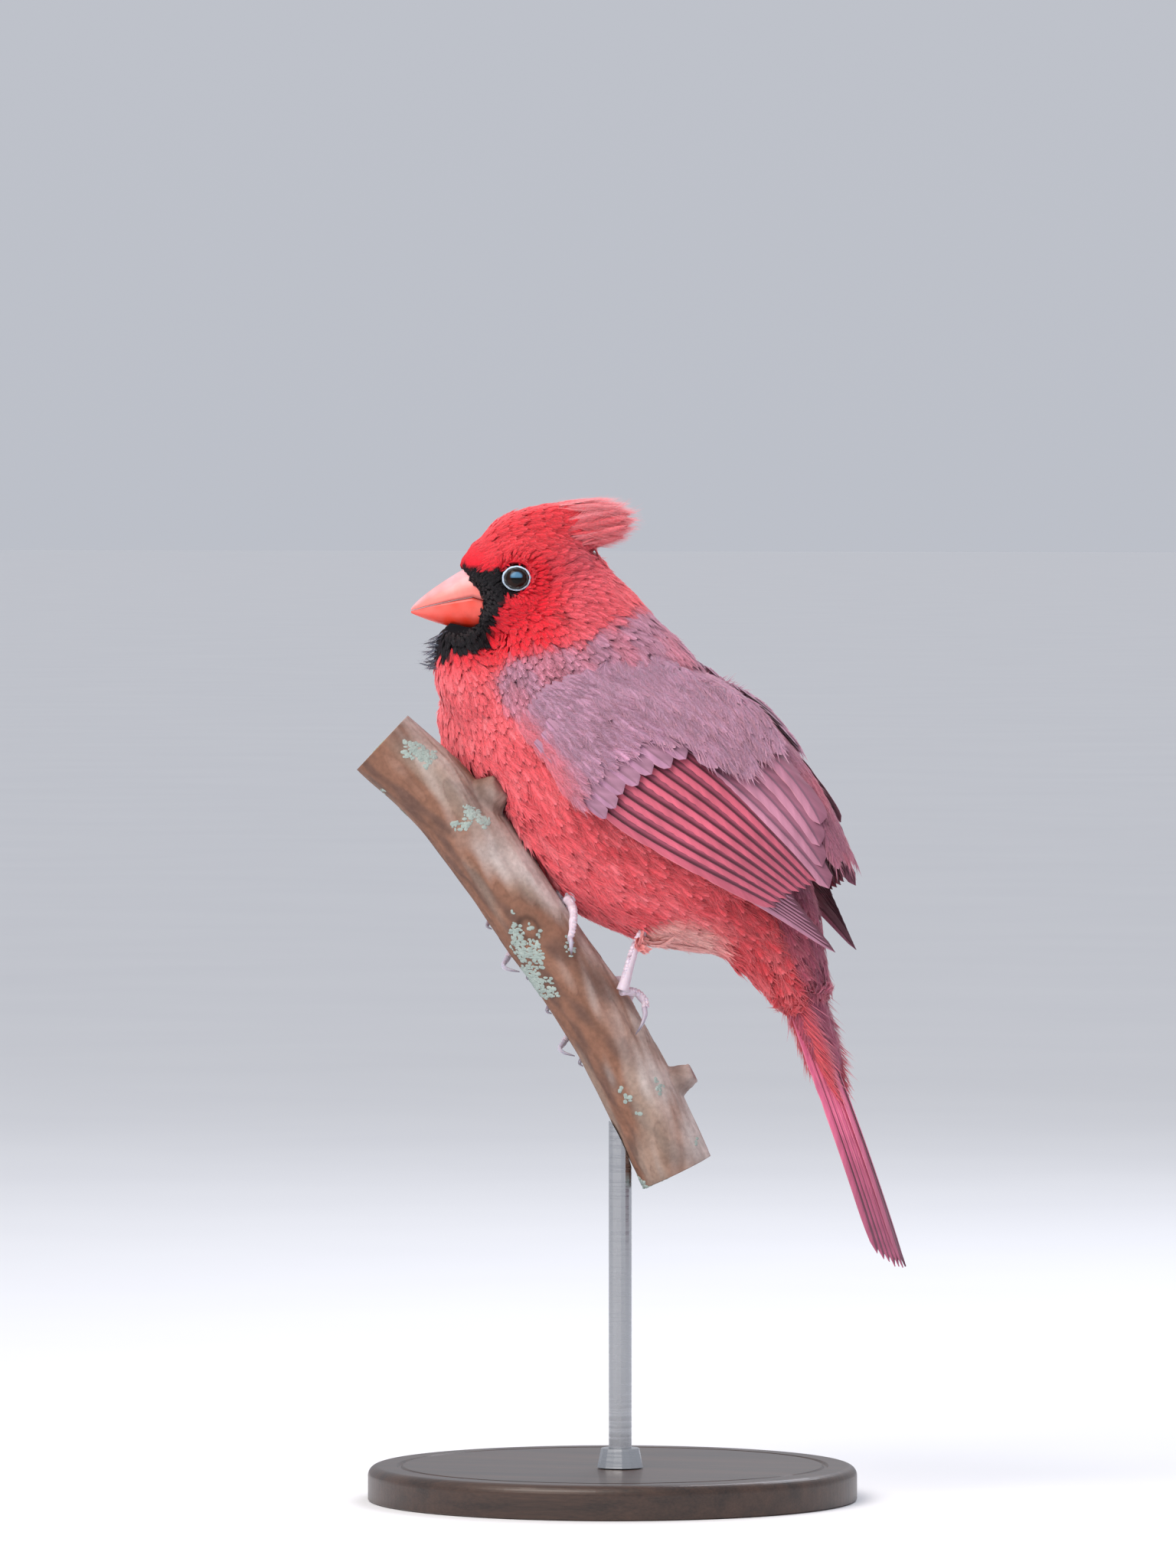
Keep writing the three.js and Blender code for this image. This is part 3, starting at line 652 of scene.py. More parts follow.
def on_wing(u, v):
    """Places on the left wing's plate, by bilinear reading of the grid."""
    x = (np.atleast_1d(u) + 0.06) / 1.14 * (WING_STOPS - 1)
    y = (np.atleast_1d(v) + 0.1) / 1.2 * (WING_STOPS - 1)
    x, y = (np.clip(k, 0, WING_STOPS - 1.001) for k in np.broadcast_arrays(x, y))
    i, j = x.astype(int), y.astype(int)
    fx, fy = (x - i)[:, None], (y - j)[:, None]
    return ((plate[i, j] * (1 - fy) + plate[i, j + 1] * fy) * (1 - fx)
            + (plate[i + 1, j] * (1 - fy) + plate[i + 1, j + 1] * fy) * fx)


def wing_out(u, v):
    """The plate's outward direction on the left wing."""
    along = on_wing(u + 0.02, v) - on_wing(u - 0.02, v)
    down = on_wing(u, v + 0.03) - on_wing(u, v - 0.03)
    out = unit(np.cross(along, down))
    return np.where(out[:, 1:2] > 0.3, -out, out)


print("plate grid", plate.shape, "lowest y", round(plate[..., 1].min(), 1))

# %% [markdown]
# A body feather is a thin oval vane on a shaft, and past its tip the barbs come loose as fine
# points. All feathers of one area are made at once from arrays: each follows a bent line from
# its root, over a middle, to its tip, and every barb is a closed sliver on that line.

# %% One feather, many times
VANE_AT = np.array([0.1, 0.36, 0.66, 0.88])
VANE_HALF = np.array([0.4, 0.85, 1.0, 0.6])
BARBS = 18
VANE_THICK = 0.12
DARKEST_BARE = 0.06                 # feathers darker than this don't fade to pink at their tips
spine = Line([(-26, 0, 223), (-22, 0, 216), (-12.8, 0, 204.8), (0.4, 0, 189.5), (15, 0, 175.8),
              (28.5, 0, 165), (39, 0, 156), (46.5, 0, 144.5), (51.5, 0, 133), (55.5, 0, 123)])
SPINE_STOPS = np.linspace(0, 1, 200)
SPINE_PLACES = spine.along(SPINE_STOPS)
SPINE_AHEAD = spine.tangent(SPINE_STOPS)
PATCH = 0.003


def along_spine(p):
    """The nearest stop on the body's middle line for each place, 0 at the throat to 1 at the tail."""
    reach = np.linalg.norm(p[:, None, [0, 2]] - SPINE_PLACES[None, :, [0, 2]], axis=2)
    return SPINE_STOPS[np.argmin(reach, axis=1)]


def unwrap(p):
    """Each place's spot on an unwrap of the body: the way round it, and bill to tail."""
    stop = along_spine(p)
    index = np.round(stop * (len(SPINE_STOPS) - 1)).astype(int)
    back = np.cross(SPINE_AHEAD[index], SIDEWAYS)
    offset = p - SPINE_PLACES[index]
    turn = np.arctan2(offset[:, 1], dot(offset, back)[:, 0]) / (2 * np.pi) + 0.5
    head_reach = np.clip((p[:, 2] - 225) / 45, 0, 1)
    return np.c_[0.02 + 0.96 * turn, 0.02 + 0.96 * (0.3 * (1 - head_reach) + 0.7 * stop)]


def feather_faces():
    """The triangles of one feather: the vane's rings with a point at each end, then the barbs."""
    rings = len(VANE_AT)
    faces = []
    for r in range(rings - 1):
        for s in range(4):
            a, b = 4 * r + s, 4 * r + (s + 1) % 4
            faces += [(a, b, b + 4), (a, b + 4, a + 4)]
    for s in range(4):
        faces.append((4 * rings, (s + 1) % 4, s))
        last = 4 * (rings - 1)
        faces.append((4 * rings + 1, last + s, last + (s + 1) % 4))
    for barb in range(BARBS):
        a = 4 * rings + 2 + 4 * barb
        faces += [(a, a + 1, a + 2), (a + 1, a, a + 3), (a + 2, a + 1, a + 3), (a, a + 2, a + 3)]
    return np.array(faces)


ONE_FEATHER = feather_faces()
FEATHER_POINTS = 4 * len(VANE_AT) + 2 + 4 * BARBS


def outward(vertices, faces):
    """The faces, turned over if the closed shape that they make is inside out."""
    a, b, c = (vertices[faces[:, k]] for k in range(3))
    volume = np.einsum("ij,ij->i", a - vertices.mean(0), np.cross(b - a, c - a)).sum()
    return faces if volume > 0 else faces[:, ::-1]


def grow(root, middle, tip, up_root, up_tip, half, colour, draw, looseness=1.0, pale=0.3):
    """Feathers from their bent lines: vertices, faces, colours and bake places."""
    count = len(root)
    length = np.linalg.norm(tip - root, axis=1)

    def bend(t):
        """Place, way ahead, way up and way aside on each feather's bent line."""
        t = np.broadcast_to(t, (count,))[:, None]
        place = (1 - t) ** 2 * root + 2 * t * (1 - t) * middle + t ** 2 * tip
        ahead = unit((1 - t) * (middle - root) + t * (tip - middle))
        up = (1 - t) * up_root + t * up_tip
        up = unit(up - ahead * dot(up, ahead))
        return place, ahead, up, np.cross(up, ahead)

    points = np.zeros((count, FEATHER_POINTS, 3))
    paint = np.zeros((count, FEATHER_POINTS, 3))
    flat = np.zeros((count, FEATHER_POINTS, 2))
    shade = draw.uniform(0.88, 1.1, count)[:, None]
    for r, (t, share) in enumerate(zip(VANE_AT, VANE_HALF)):
        place, _, up, side = bend(t)
        wide = (half * share)[:, None]
        points[:, 4 * r] = place - side * wide - up * wide * 0.3
        points[:, 4 * r + 1] = place + up * VANE_THICK
        points[:, 4 * r + 2] = place + side * wide - up * wide * 0.3
        points[:, 4 * r + 3] = place - up * (VANE_THICK + wide * 0.1)
        # Partly painted shade: each vane is painted darker towards its root, partly for a real feather's grey
        # base and partly for the shadow where feathers overlap.
        tone = colour * shade * (0.7 + 0.34 * t)
        paint[:, 4 * r:4 * r + 4] = tone[:, None]
        flat[:, 4 * r:4 * r + 4] = [(0.2, t), (0.5, t), (0.8, t), (0.5, t)]
    ends = 4 * len(VANE_AT)
    points[:, ends] = root
    points[:, ends + 1] = tip
    # The root's point is darker still and the tip lighter, the same grey base and painted shade.
    paint[:, ends] = colour * shade * 0.6
    dark = colour.mean(1) < DARKEST_BARE
    faded = mix(colour * shade * 1.1, BARB_PINK, np.full(count, pale * 0.5))
    paint[:, ends + 1] = np.where(dark[:, None], colour, faded)
    flat[:, ends] = (0.5, 0)
    flat[:, ends + 1] = (0.5, 1)
    for k in range(BARBS):
        hand = 1 if k % 2 else -1
        t = 0.3 + 0.66 * (k + draw.uniform(-0.4, 0.4, count)) / BARBS
        place, ahead, up, side = bend(t)
        splay = np.radians(34 - 22 * t) * draw.uniform(0.6, 1.3, count)
        way = unit(ahead * np.cos(splay)[:, None] + hand * side * np.sin(splay)[:, None]
                   + up * (draw.uniform(-0.10, 0.05, count) * looseness)[:, None])
        across = np.cross(way, up)
        reach = (length * (0.50 - 0.20 * t) * draw.uniform(0.7, 1.3, count))[:, None]
        thick = (half * 0.085 * draw.uniform(0.7, 1.2, count))[:, None]
        start = place + up * (VANE_THICK * 0.4) + hand * side * (half * 0.25)[:, None]
        at = ends + 2 + 4 * k
        points[:, at] = start - across * thick - up * thick * 0.4
        points[:, at + 1] = start + across * thick - up * thick * 0.4
        points[:, at + 2] = start + up * thick
        points[:, at + 3] = start + way * reach - up * reach * 0.06
        tint = draw.uniform(0.8, 1.15, count)[:, None]
        light = draw.uniform(0, pale, count) * ~dark
        # Each barb is painted darker at its base than at its tip, the same grey base and painted shade.
        paint[:, at:at + 3] = (colour * tint * 0.9)[:, None]
        paint[:, at + 3] = mix(colour * tint * 1.1, BARB_PINK, light)
        flat[:, at:at + 3] = [(0.45, 0.5), (0.55, 0.5), (0.5, 0.5)]
        flat[:, at + 3] = (0.5 + 0.3 * hand, 0.9)
    places = unwrap(root)[:, None] + (flat - 0.5) * PATCH
    faces = outward(points[0], ONE_FEATHER)
    return points, faces, paint, places


def feather_mesh(name, grown, material, slot, keep=slice(None)):
    """One piece from feathers made by grow, or from some of them."""
    points, faces, paint, places = grown
    points, paint, places = points[keep], paint[keep], places[keep]
    count = len(points)
    index = (faces[None] + (np.arange(count) * FEATHER_POINTS)[:, None, None]).reshape(-1, 3)
    piece = make_mesh(name, points.reshape(-1, 3), index, material, paint.reshape(-1, 3),
                      uv=("OFBake", places.reshape(-1, 2)))
    print(name, count, "feathers,", len(index), "triangles")
    return finish_piece(piece, slot)


print(len(ONE_FEATHER), "triangles a feather")

# %% [markdown]
# Feathers grow in even, shingled rows, so roots are scattered over the skin and thinned to an even
# spacing, closest at the face. All lie away from the bill: back over the crown to the crest's
# points, back and down over the cheeks, then along the body to the tail. Round the eye they part.

# %% Roots and lie
SEED = 20
CREST_POINTS = Line([(-4.8, 0, 261.2), (0.8, 0, 257.8), (2, 0, 255.2), (0.8, 0, 251.6)])
EYE_HALF = 3.3


def spacing(p):
    """The gap between roots in mm: 0.7 at the face and round the eye, to 1.6 on the body."""
    across, up, _ = head_place(p)
    from_face = from_bill(across, up)
    gap = 0.72 + 0.42 * smooth(5, 18, from_face) + 0.5 * smooth(24, 50, from_face)
    near_eye = np.hypot(across - EYE_AT[0], up - EYE_AT[1])
    return np.where(near_eye < 7, 0.66, gap)


def scatter(count):
    """Even roots on the skin: places and the outward direction there."""
    draw = np.random.default_rng(SEED)
    a, b, c = (inner[skin_faces[:, k]] for k in range(3))
    cross = np.cross(b - a, c - a)
    area = np.linalg.norm(cross, axis=1)
    middle = (a + b + c) / 3
    weight = area / spacing(middle) ** 2
    pick = draw.choice(len(area), count, p=weight / weight.sum())
    r1, r2 = np.sqrt(draw.random(count))[:, None], draw.random(count)[:, None]
    place = (1 - r1) * a[pick] + r1 * (1 - r2) * b[pick] + r1 * r2 * c[pick]
    out = unit(cross[pick])
    gaps = spacing(place)
    cell = 2.0
    keys = np.floor(place / cell).astype(int)
    cells = {}
    kept = []
    for i in range(count):
        x, y, z = keys[i]
        spot, gap = place[i], gaps[i]
        free = True
        for near in ((x + dx, y + dy, z + dz) for dx in (-1, 0, 1) for dy in (-1, 0, 1) for dz in (-1, 0, 1)):
            for j in cells.get(near, ()):
                d = place[j] - spot
                if d[0] * d[0] + d[1] * d[1] + d[2] * d[2] < gap * gap:
                    free = False
                    break
            if not free:
                break
        if free:
            cells.setdefault((x, y, z), []).append(i)
            kept.append(i)
    return place[kept], out[kept]


def lie(p, out):
    """The way that feathers lie at places."""
    across, up, side = head_place(p)
    bill = ACROSS * BILL_BASE[0] + AWAY * HEAD_MIDDLE_DEPTH + UPWARD * BILL_BASE[1]
    away = unit(p - bill)
    goal = CREST_POINTS.along(np.clip((258 - up) / 8, 0, 1))
    towards = unit(ACROSS * (goal[:, :1] - across[:, None] + 4)
                   + UPWARD * (goal[:, 2:] - up[:, None]) - AWAY * (side * 0.25)[:, None])
    crown = smooth(243, 251, up)[:, None]
    head = away * (1 - crown) + towards * crown
    stop = along_spine(p)
    body = SPINE_AHEAD[np.round(stop * (len(SPINE_STOPS) - 1)).astype(int)]
    headed = (smooth(216, 236, up) * smooth(14, -4, across))[:, None]
    way = body * (1 - headed) + head * headed
    eye = ACROSS * (across - EYE_AT[0])[:, None] + UPWARD * (up - EYE_AT[1])[:, None]
    far = np.linalg.norm(eye, axis=1, keepdims=True)
    way = way + eye / np.maximum(far, 0.5) * smooth(8, 3.5, far) * 1.3
    return unit(way - out * dot(way, out))


TRIED_ROOTS = 64000
roots, outs = scatter(TRIED_ROOTS)
print("roots", len(roots))

# %% [markdown]
# Roots under the folded wings, in the branch or in the eyes and bill would grow feathers that
# nobody sees or that poke through, so they are left out. The rest bend with the skin: each tip
# lands over the skin by the depth of the coat, so no feather stands off or dives in.

# %% The contour coat
def over_skin(p, height):
    """The places over the skin nearest to p, at a height, with the outward directions there."""
    spots, ups = np.zeros_like(p), np.zeros_like(p)
    for i, spot in enumerate(p):
        near, normal, _, _ = skin_tree.find_nearest(Vector(spot))
        spots[i], ups[i] = near, normal
    return spots + ups * height[:, None], ups


BRANCH_STOPS = branch.along(np.linspace(0, 1, 160))


def in_branch(p, clear):
    """True within a clearance of the branch's bark."""
    gap = np.min(np.linalg.norm(p[:, None] - BRANCH_STOPS[None], axis=2), axis=1)
    return gap < BRANCH_RADIUS + clear


def from_eye(p):
    """Distance from the middle of the nearer eye, on either side of the head."""
    across, up, side = head_place(p)
    return np.where(np.abs(side) > 7, np.hypot((across - EYE_AT[0]) * 0.9, up - EYE_AT[1]), 99)


def under_wing(p):
    """True where the middle of a folded wing lies over a place."""
    cover = plate[6:-6:2, 6:-8:2].reshape(-1, 3)
    folded = np.c_[p[:, 0], -np.abs(p[:, 1]), p[:, 2]]
    gap = np.min(np.linalg.norm(folded[:, None] - cover[None], axis=2), axis=1)
    return gap < 4.2


def in_bill(p):
    """True where a feather would stand in the horn."""
    across, up, side = head_place(p)
    return (inside(BILL_SHAPE, across, up) > 0.5) & (np.abs(side) < 9)


draw = np.random.default_rng(SEED + 1)
chosen = ~(under_wing(roots) | in_branch(roots, 0.2) | (from_eye(roots) < EYE_HALF) | in_bill(roots))
roots, outs = roots[chosen], outs[chosen]
ways = lie(roots, outs)
across, up, side = head_place(roots)
from_face = from_bill(across, up)
# Feather lengths in mm: 2.3 at the face, 5 on the neck, 9 on the body, and under 2 round the eye.
sizes = 2.3 + 2.6 * smooth(4, 20, from_face) + 4.2 * smooth(24, 52, from_face)
sizes = np.where(from_eye(roots) < 7, 1.7 + 0.25 * np.maximum(from_eye(roots) - 3.3, 0), sizes)
sizes = sizes * draw.uniform(0.85, 1.2, len(roots))
sizes += 2.5 * smooth(150, 138, up)
vent = vent_patch(across, up)
sizes += 3 * vent
turn = draw.normal(0, 0.13, len(roots))[:, None]
ways = unit(ways + np.cross(outs, ways) * turn)
lift = coat_depth(roots) * draw.uniform(0.75, 1.1, len(roots))
tips, up_tips = over_skin(roots + ways * sizes[:, None], lift)
tips += draw.normal(0, 0.3, tips.shape) * vent[:, None]
middles = roots + ways * (sizes * 0.5)[:, None] + outs * (lift * 0.9)[:, None]
clear = ~(in_branch(tips, 0.1) | in_branch(middles, 0.1) | (from_eye(tips) < 2.9) | in_bill(tips))
roots, middles, tips = roots[clear], middles[clear], tips[clear]
outs, up_tips, sizes = outs[clear], up_tips[clear], sizes[clear]
shown = 0.15 * roots + 0.85 * tips
colour = markings_and_painted_light(shown)
coat = grow(roots, middles, tips, outs, up_tips, sizes * 0.215, colour, draw)

across, up, side = head_place(shown)
near = shown[:, 0] * ACROSS[0] - np.abs(shown[:, 1]) * ACROSS[1]
on_back = inside(BACK, near, up) > 0
regions = {
    "coat_head": (up > 221) & ~on_back,
    "coat_mantle": on_back,
    "coat_breast": (up <= 221) & (up > 190) & ~on_back,
    "coat_belly": (up <= 190) & (up > 162) & ~on_back,
    "coat_vent": (up <= 162) & ~on_back,
}
MOST_FEATHERS = 190000 // len(ONE_FEATHER)
for name, member in regions.items():
    index = np.flatnonzero(member)
    index = index[np.argsort(unwrap(roots[index])[:, 1], kind="stable")]
    parts = max(1, math.ceil(len(index) / MOST_FEATHERS))
    slot = "plumage_mauve" if name == "coat_mantle" else "plumage_red"
    for k, some in enumerate(np.array_split(index, parts)):
        feather_mesh(f"{name}_{k + 1}", coat, CONTOUR, slot, some)
print("contour feathers", len(roots))

# %% [markdown]
# The crest's longest feathers start on the crown and end free behind it. Their barbs are few and
# long, and worn pale at the ends, so each makes a thin wisp. Fine bristles do the same at the chin.

# %% Crest wisps and chin bristles
def wisps(count, root_from, root_to, tip_of, seed):
    """Long thin feathers from the skin to free tips, both given in the head's own plane."""
    draw = np.random.default_rng(seed)
    share = draw.random(count)
    start = np.array(root_from) + (np.array(root_to) - root_from) * share[:, None]
    start = start + draw.normal(0, 0.8, start.shape)
    spread = draw.uniform(-1, 1, count)
    root = (ACROSS * start[:, :1] + UPWARD * start[:, 1:]
            + AWAY * (HEAD_MIDDLE_DEPTH + 4.2 * spread)[:, None])
    root, up = over_skin(root, np.full(count, 0.2))
    goal = tip_of(share, draw)
    tip = (ACROSS * goal[:, :1] + UPWARD * goal[:, 1:]
           + AWAY * (HEAD_MIDDLE_DEPTH + 1.6 * spread + draw.normal(0, 0.4, count))[:, None])
    length = np.linalg.norm(tip - root, axis=1)
    middle = 0.5 * (root + tip) + up * (length * 0.08)[:, None]
    return root, middle, tip, up, length, draw


CREST_WISPS = 210
CREST_LOCKS = 5
CREST_REACH = np.array([2.2, 0.3])  # past the crest's outline, so that the locks part at their ends
CHIN_BRISTLES = 60


def crest_tip(share, draw):
    """Tips gathered in locks at the crest's points, most at the very end."""
    lock = np.round(share * CREST_LOCKS) / CREST_LOCKS
    back = 5 * draw.random(len(share)) ** 2.5
    place = CREST_POINTS.along(lock)
    return (place[:, [0, 2]] + draw.normal(0, 0.22, (len(share), 2))
            + CREST_REACH - np.c_[back, 0.05 * back])


root, middle, tip, up, length, draw = wisps(CREST_WISPS, (-25, 258), (-9, 248), crest_tip, SEED + 3)
colour = mix(fill(CROWN_RED, len(root)), BARB_PINK, draw.uniform(0.15, 0.6, len(root)))
feather_mesh("coat_crest_wisps", grow(root, middle, tip, up, up, length * 0.036, colour, draw, pale=1.0),
             CONTOUR, "plumage_red")


def chin_tip(share, draw):
    """Tips in front of the chin, down from the bill to the throat."""
    ends = np.array([(-47, 225), (-48, 220.5), (-49, 217)])
    x = np.interp(share, [0, 0.5, 1], ends[:, 0]) + draw.normal(0, 0.9, len(share))
    y = np.interp(share, [0, 0.5, 1], ends[:, 1]) + draw.normal(0, 0.7, len(share))
    return np.c_[x, y]


root, middle, tip, up, length, draw = wisps(CHIN_BRISTLES, (-42, 226), (-44, 217), chin_tip, SEED + 4)
colour = mix(fill(MASK_BLACK, len(root)), linear("#7c879c"), draw.uniform(0.2, 0.8, len(root)))
feather_mesh("coat_chin_bristles", grow(root, middle, tip, up, up, length * 0.03, colour, draw, pale=0.0),
             CONTOUR, "plumage_red")

# %% [markdown]
# Quills are stiffer: a dark shaft, a narrow outer vane with a bright edge, and a broad dusky inner
# vane that hides under the next quill. Barbs show as fine slanting lines, so each vane carries a
# map in real millimetres, along the shaft and off it, and the material slants its lines by that.

# %% Quill material
def quill_material():
    """Quill vane, satin: painted from the mesh, with slanting barb lines 0.4 mm apart."""
    material, tree = new_material("quill_vane_satin")
    vane = add(tree, "ShaderNodeUVMap", uv_map="Vane")
    parts = add(tree, "ShaderNodeSeparateXYZ", {"Vector": vane.outputs["UV"]})
    off = math_of(tree, "ABSOLUTE", parts.outputs["Y"])
    slant = math_of(tree, "MULTIPLY_ADD", off, -1.5, parts.outputs["X"])
    line = add(tree, "ShaderNodeCombineXYZ", {"X": slant}).outputs["Vector"]
    both = math_of(tree, "ADD", noise(tree, 250.0, Vector=line), noise(tree, 45.0, Vector=line))
    painted(tree, both, (0.7, 1.3, 0.74, 1.18), 0.35, 0.12, {
        "Roughness": 0.62, "Sheen Weight": 0.1, "Specular IOR Level": 0.3})
    return material


GREY_VANE = linear("#7d5468")
QUILL = quill_material()
QUILL_STATIONS = 22
VANE_PLACES = np.array([-1, -0.82, -0.42, -0.1, 0, 0.07, 0.25, 0.6, 1.0])
QUILL_THICK = 0.16
SHAFT_DARK = linear("#4a1826")
INNER_DUSK = linear("#6b3a48")


def quill(centre, ahead, up, half_outer, half_inner, outer_hand, edge, vane, draw, pointed=0.0,
          camber=0.5, tip_dusk=0.25, dusk=INNER_DUSK, shaft=SHAFT_DARK):
    """One quill on stations: a closed thin vane with a shaft ridge. Returns places, colours and map."""
    stations = len(centre)
    t = np.linspace(0, 1, stations)
    side = unit(np.cross(up, ahead)) * outer_hand
    body = np.minimum(1, 0.3 + 2.6 * t)
    end = 0.84 - 0.3 * pointed
    round_off = np.sqrt(np.clip(1 - np.clip((t - end) / (1 - end), 0, 1) ** (2.2 - 0.7 * pointed), 0, 1))
    share = body * round_off
    share[-1] = 0.02
    notch = 1 - 0.10 * (draw.random((stations, 2)) > 0.84)
    shape = (stations, len(VANE_PLACES), 2)
    place, paint, flat = np.zeros((*shape, 3)), np.zeros((*shape, 3)), np.zeros((*shape, 2))
    reach = np.r_[0, np.cumsum(np.linalg.norm(np.diff(centre, axis=0), axis=1))]
    for k, s in enumerate(VANE_PLACES):
        half = half_outer * (1 - 0.32 * t) if s < 0 else half_inner
        wide = abs(s) * half * share * (notch[:, 0 if s < 0 else 1] if abs(s) == 1 else 1)
        off = wide * (1 if s < 0 else -1)
        ridge = 0.28 * max(0, 1 - abs(s) / 0.1)
        thick = QUILL_THICK * (1.0 - 0.6 * abs(s))
        sag = camber * s * s * share
        slip = 0.25 * wide
        spot = centre + side * off[:, None] + ahead * slip[:, None] * share[:, None]
        place[:, k, 0] = spot + up * (thick + ridge * (1 - 0.7 * t) - sag)[:, None]
        place[:, k, 1] = spot - up * (thick * 0.5 + sag)[:, None]
        if s < -0.9:
            tone = mix(edge, BARB_PINK, 0.25)
        elif s < -0.3:
            tone = edge
        elif s < -0.05:
            tone = mix(edge, vane, 0.45)
        elif s < 0.1:
            tone = shaft
        elif s < 0.4:
            tone = mix(vane, dusk, 0.35)
        else:
            tone = dusk
        along = mix(fill(tone, stations), GREY_VANE, tip_dusk * smooth(0.45, 1.0, t))
        paint[:, k] = along[:, None]
        flat[:, k] = np.c_[reach, off][:, None] * MM
    return place, paint, flat


def quill_faces(stations):
    """Triangles over the top and the bottom of a quill, and round its four sides."""
    columns = len(VANE_PLACES)

    def at(i, k, face):
        return (i * columns + k) * 2 + face

    faces = []
    for i in range(stations - 1):
        for k in range(columns - 1):
            faces.append((at(i, k, 0), at(i, k + 1, 0), at(i + 1, k + 1, 0), at(i + 1, k, 0)))
            faces.append((at(i, k, 1), at(i + 1, k, 1), at(i + 1, k + 1, 1), at(i, k + 1, 1)))
        faces.append((at(i, 0, 0), at(i + 1, 0, 0), at(i + 1, 0, 1), at(i, 0, 1)))
        last = columns - 1
        faces.append((at(i, last, 0), at(i, last, 1), at(i + 1, last, 1), at(i + 1, last, 0)))
    end = stations - 1
    for k in range(columns - 1):
        faces.append((at(0, k, 0), at(0, k, 1), at(0, k + 1, 1), at(0, k + 1, 0)))
        faces.append((at(end, k, 0), at(end, k + 1, 0), at(end, k + 1, 1), at(end, k, 1)))
    faces = np.array(faces)
    return np.vstack([faces[:, [0, 1, 2]], faces[:, [0, 2, 3]]])


def quill_piece(name, quills, slot, node):
    """One piece from several quills, each with its own strip of the bake map."""
    bakes, faces = [], []
    one = quill_faces(QUILL_STATIONS)
    strips = len(quills)
    k = (VANE_PLACES + 1) / 2 * 0.44
    x = np.stack([k, 0.5 + k], axis=1)[None].repeat(QUILL_STATIONS, 0)
    y = np.linspace(0.01, 0.99, QUILL_STATIONS)[:, None, None].repeat(len(k), 1).repeat(2, 2)
    places, paints, flats = (np.array(part) for part in zip(*quills))
    for n, place in enumerate(places):
        points = place.reshape(-1, 3)
        faces.append(outward(points, one) + n * len(points))
        bakes.append(np.stack([(n + 0.03 + x * 0.96) / strips, y], axis=-1).reshape(-1, 2))
    piece = make_mesh(name, places, np.vstack(faces), QUILL, paints.reshape(-1, 3),
                      uv=("Vane", flats.reshape(-1, 2)))
    layer = piece.data.uv_layers.new(name="OFBake")
    corners = np.zeros(len(piece.data.loops), np.int32)
    piece.data.loops.foreach_get("vertex_index", corners)
    layer.uv.foreach_set("vector", np.vstack(bakes)[corners].astype(np.float32).ravel())
    print(name, strips, "quills,", len(piece.data.polygons), "triangles")
    return finish_piece(piece, slot, node)


# %% [markdown]
# A folded wing is a fan shut on itself: the primaries lie lowest and reach the tip, the secondaries
# cover them, the three tertials lie on top by the back, and the coverts roof all their roots.
# Each row below runs from the flank up to the back, and says where roots and tips lie on the plate.

# %% Wing quills
ROSE_EDGE = linear("#d5647a")
ROSE_VANE = linear("#ae4f68")
GREY_EDGE = linear("#c0879f")
TERTIAL_EDGE = linear("#c6879f")
TERTIAL_VANE = linear("#a8687f")
COVERT_EDGE = linear("#c490b0")
COVERT_VANE = linear("#b6869f")

# Each row: how many, root u and v, tip u and v, outer and inner half widths, lifts, colours, point.
WING_ROWS = {
    "primaries": dict(count=8, root=[(0.26, 0.99), (0.34, 0.84)], tip=[(1.02, 0.99), (0.86, 0.74)],
                      half=(1.7, 3.4), lift=(0.5, 1.5), edge=GREY_EDGE, vane=GREY_VANE, pointed=0.8,
                      dusk=INNER_DUSK, shaft=SHAFT_DARK, sink=0.8),
    "secondaries": dict(count=8, root=[(0.12, 0.97), (0.24, 0.42)], tip=[(0.80, 0.95), (0.93, 0.40)],
                        half=(3.2, 4.2), lift=(1.7, 2.9), edge=ROSE_EDGE, vane=ROSE_VANE, pointed=0.1,
                        dusk=INNER_DUSK, shaft=SHAFT_DARK, sink=0.8),
    "tertials": dict(count=4, root=[(0.28, 0.38), (0.30, 0.10)], tip=[(1.0, 0.30), (0.84, 0.02)],
                     half=(3.0, 4.2), lift=(3.2, 4.1), edge=TERTIAL_EDGE, vane=TERTIAL_VANE, pointed=0.0,
                     dusk=TERTIAL_VANE * 0.8, shaft=GREY_VANE, sink=0.7),
    "coverts": dict(count=9, root=[(0.02, 0.97), (0.10, 0.26)], tip=[(0.27, 0.98), (0.44, 0.26)],
                    half=(2.5, 3.4), lift=(3.0, 4.2), edge=COVERT_EDGE, vane=COVERT_VANE, pointed=0.0,
                    dusk=COVERT_VANE * 0.85, shaft=COVERT_VANE * 0.7, sink=0.45),
}


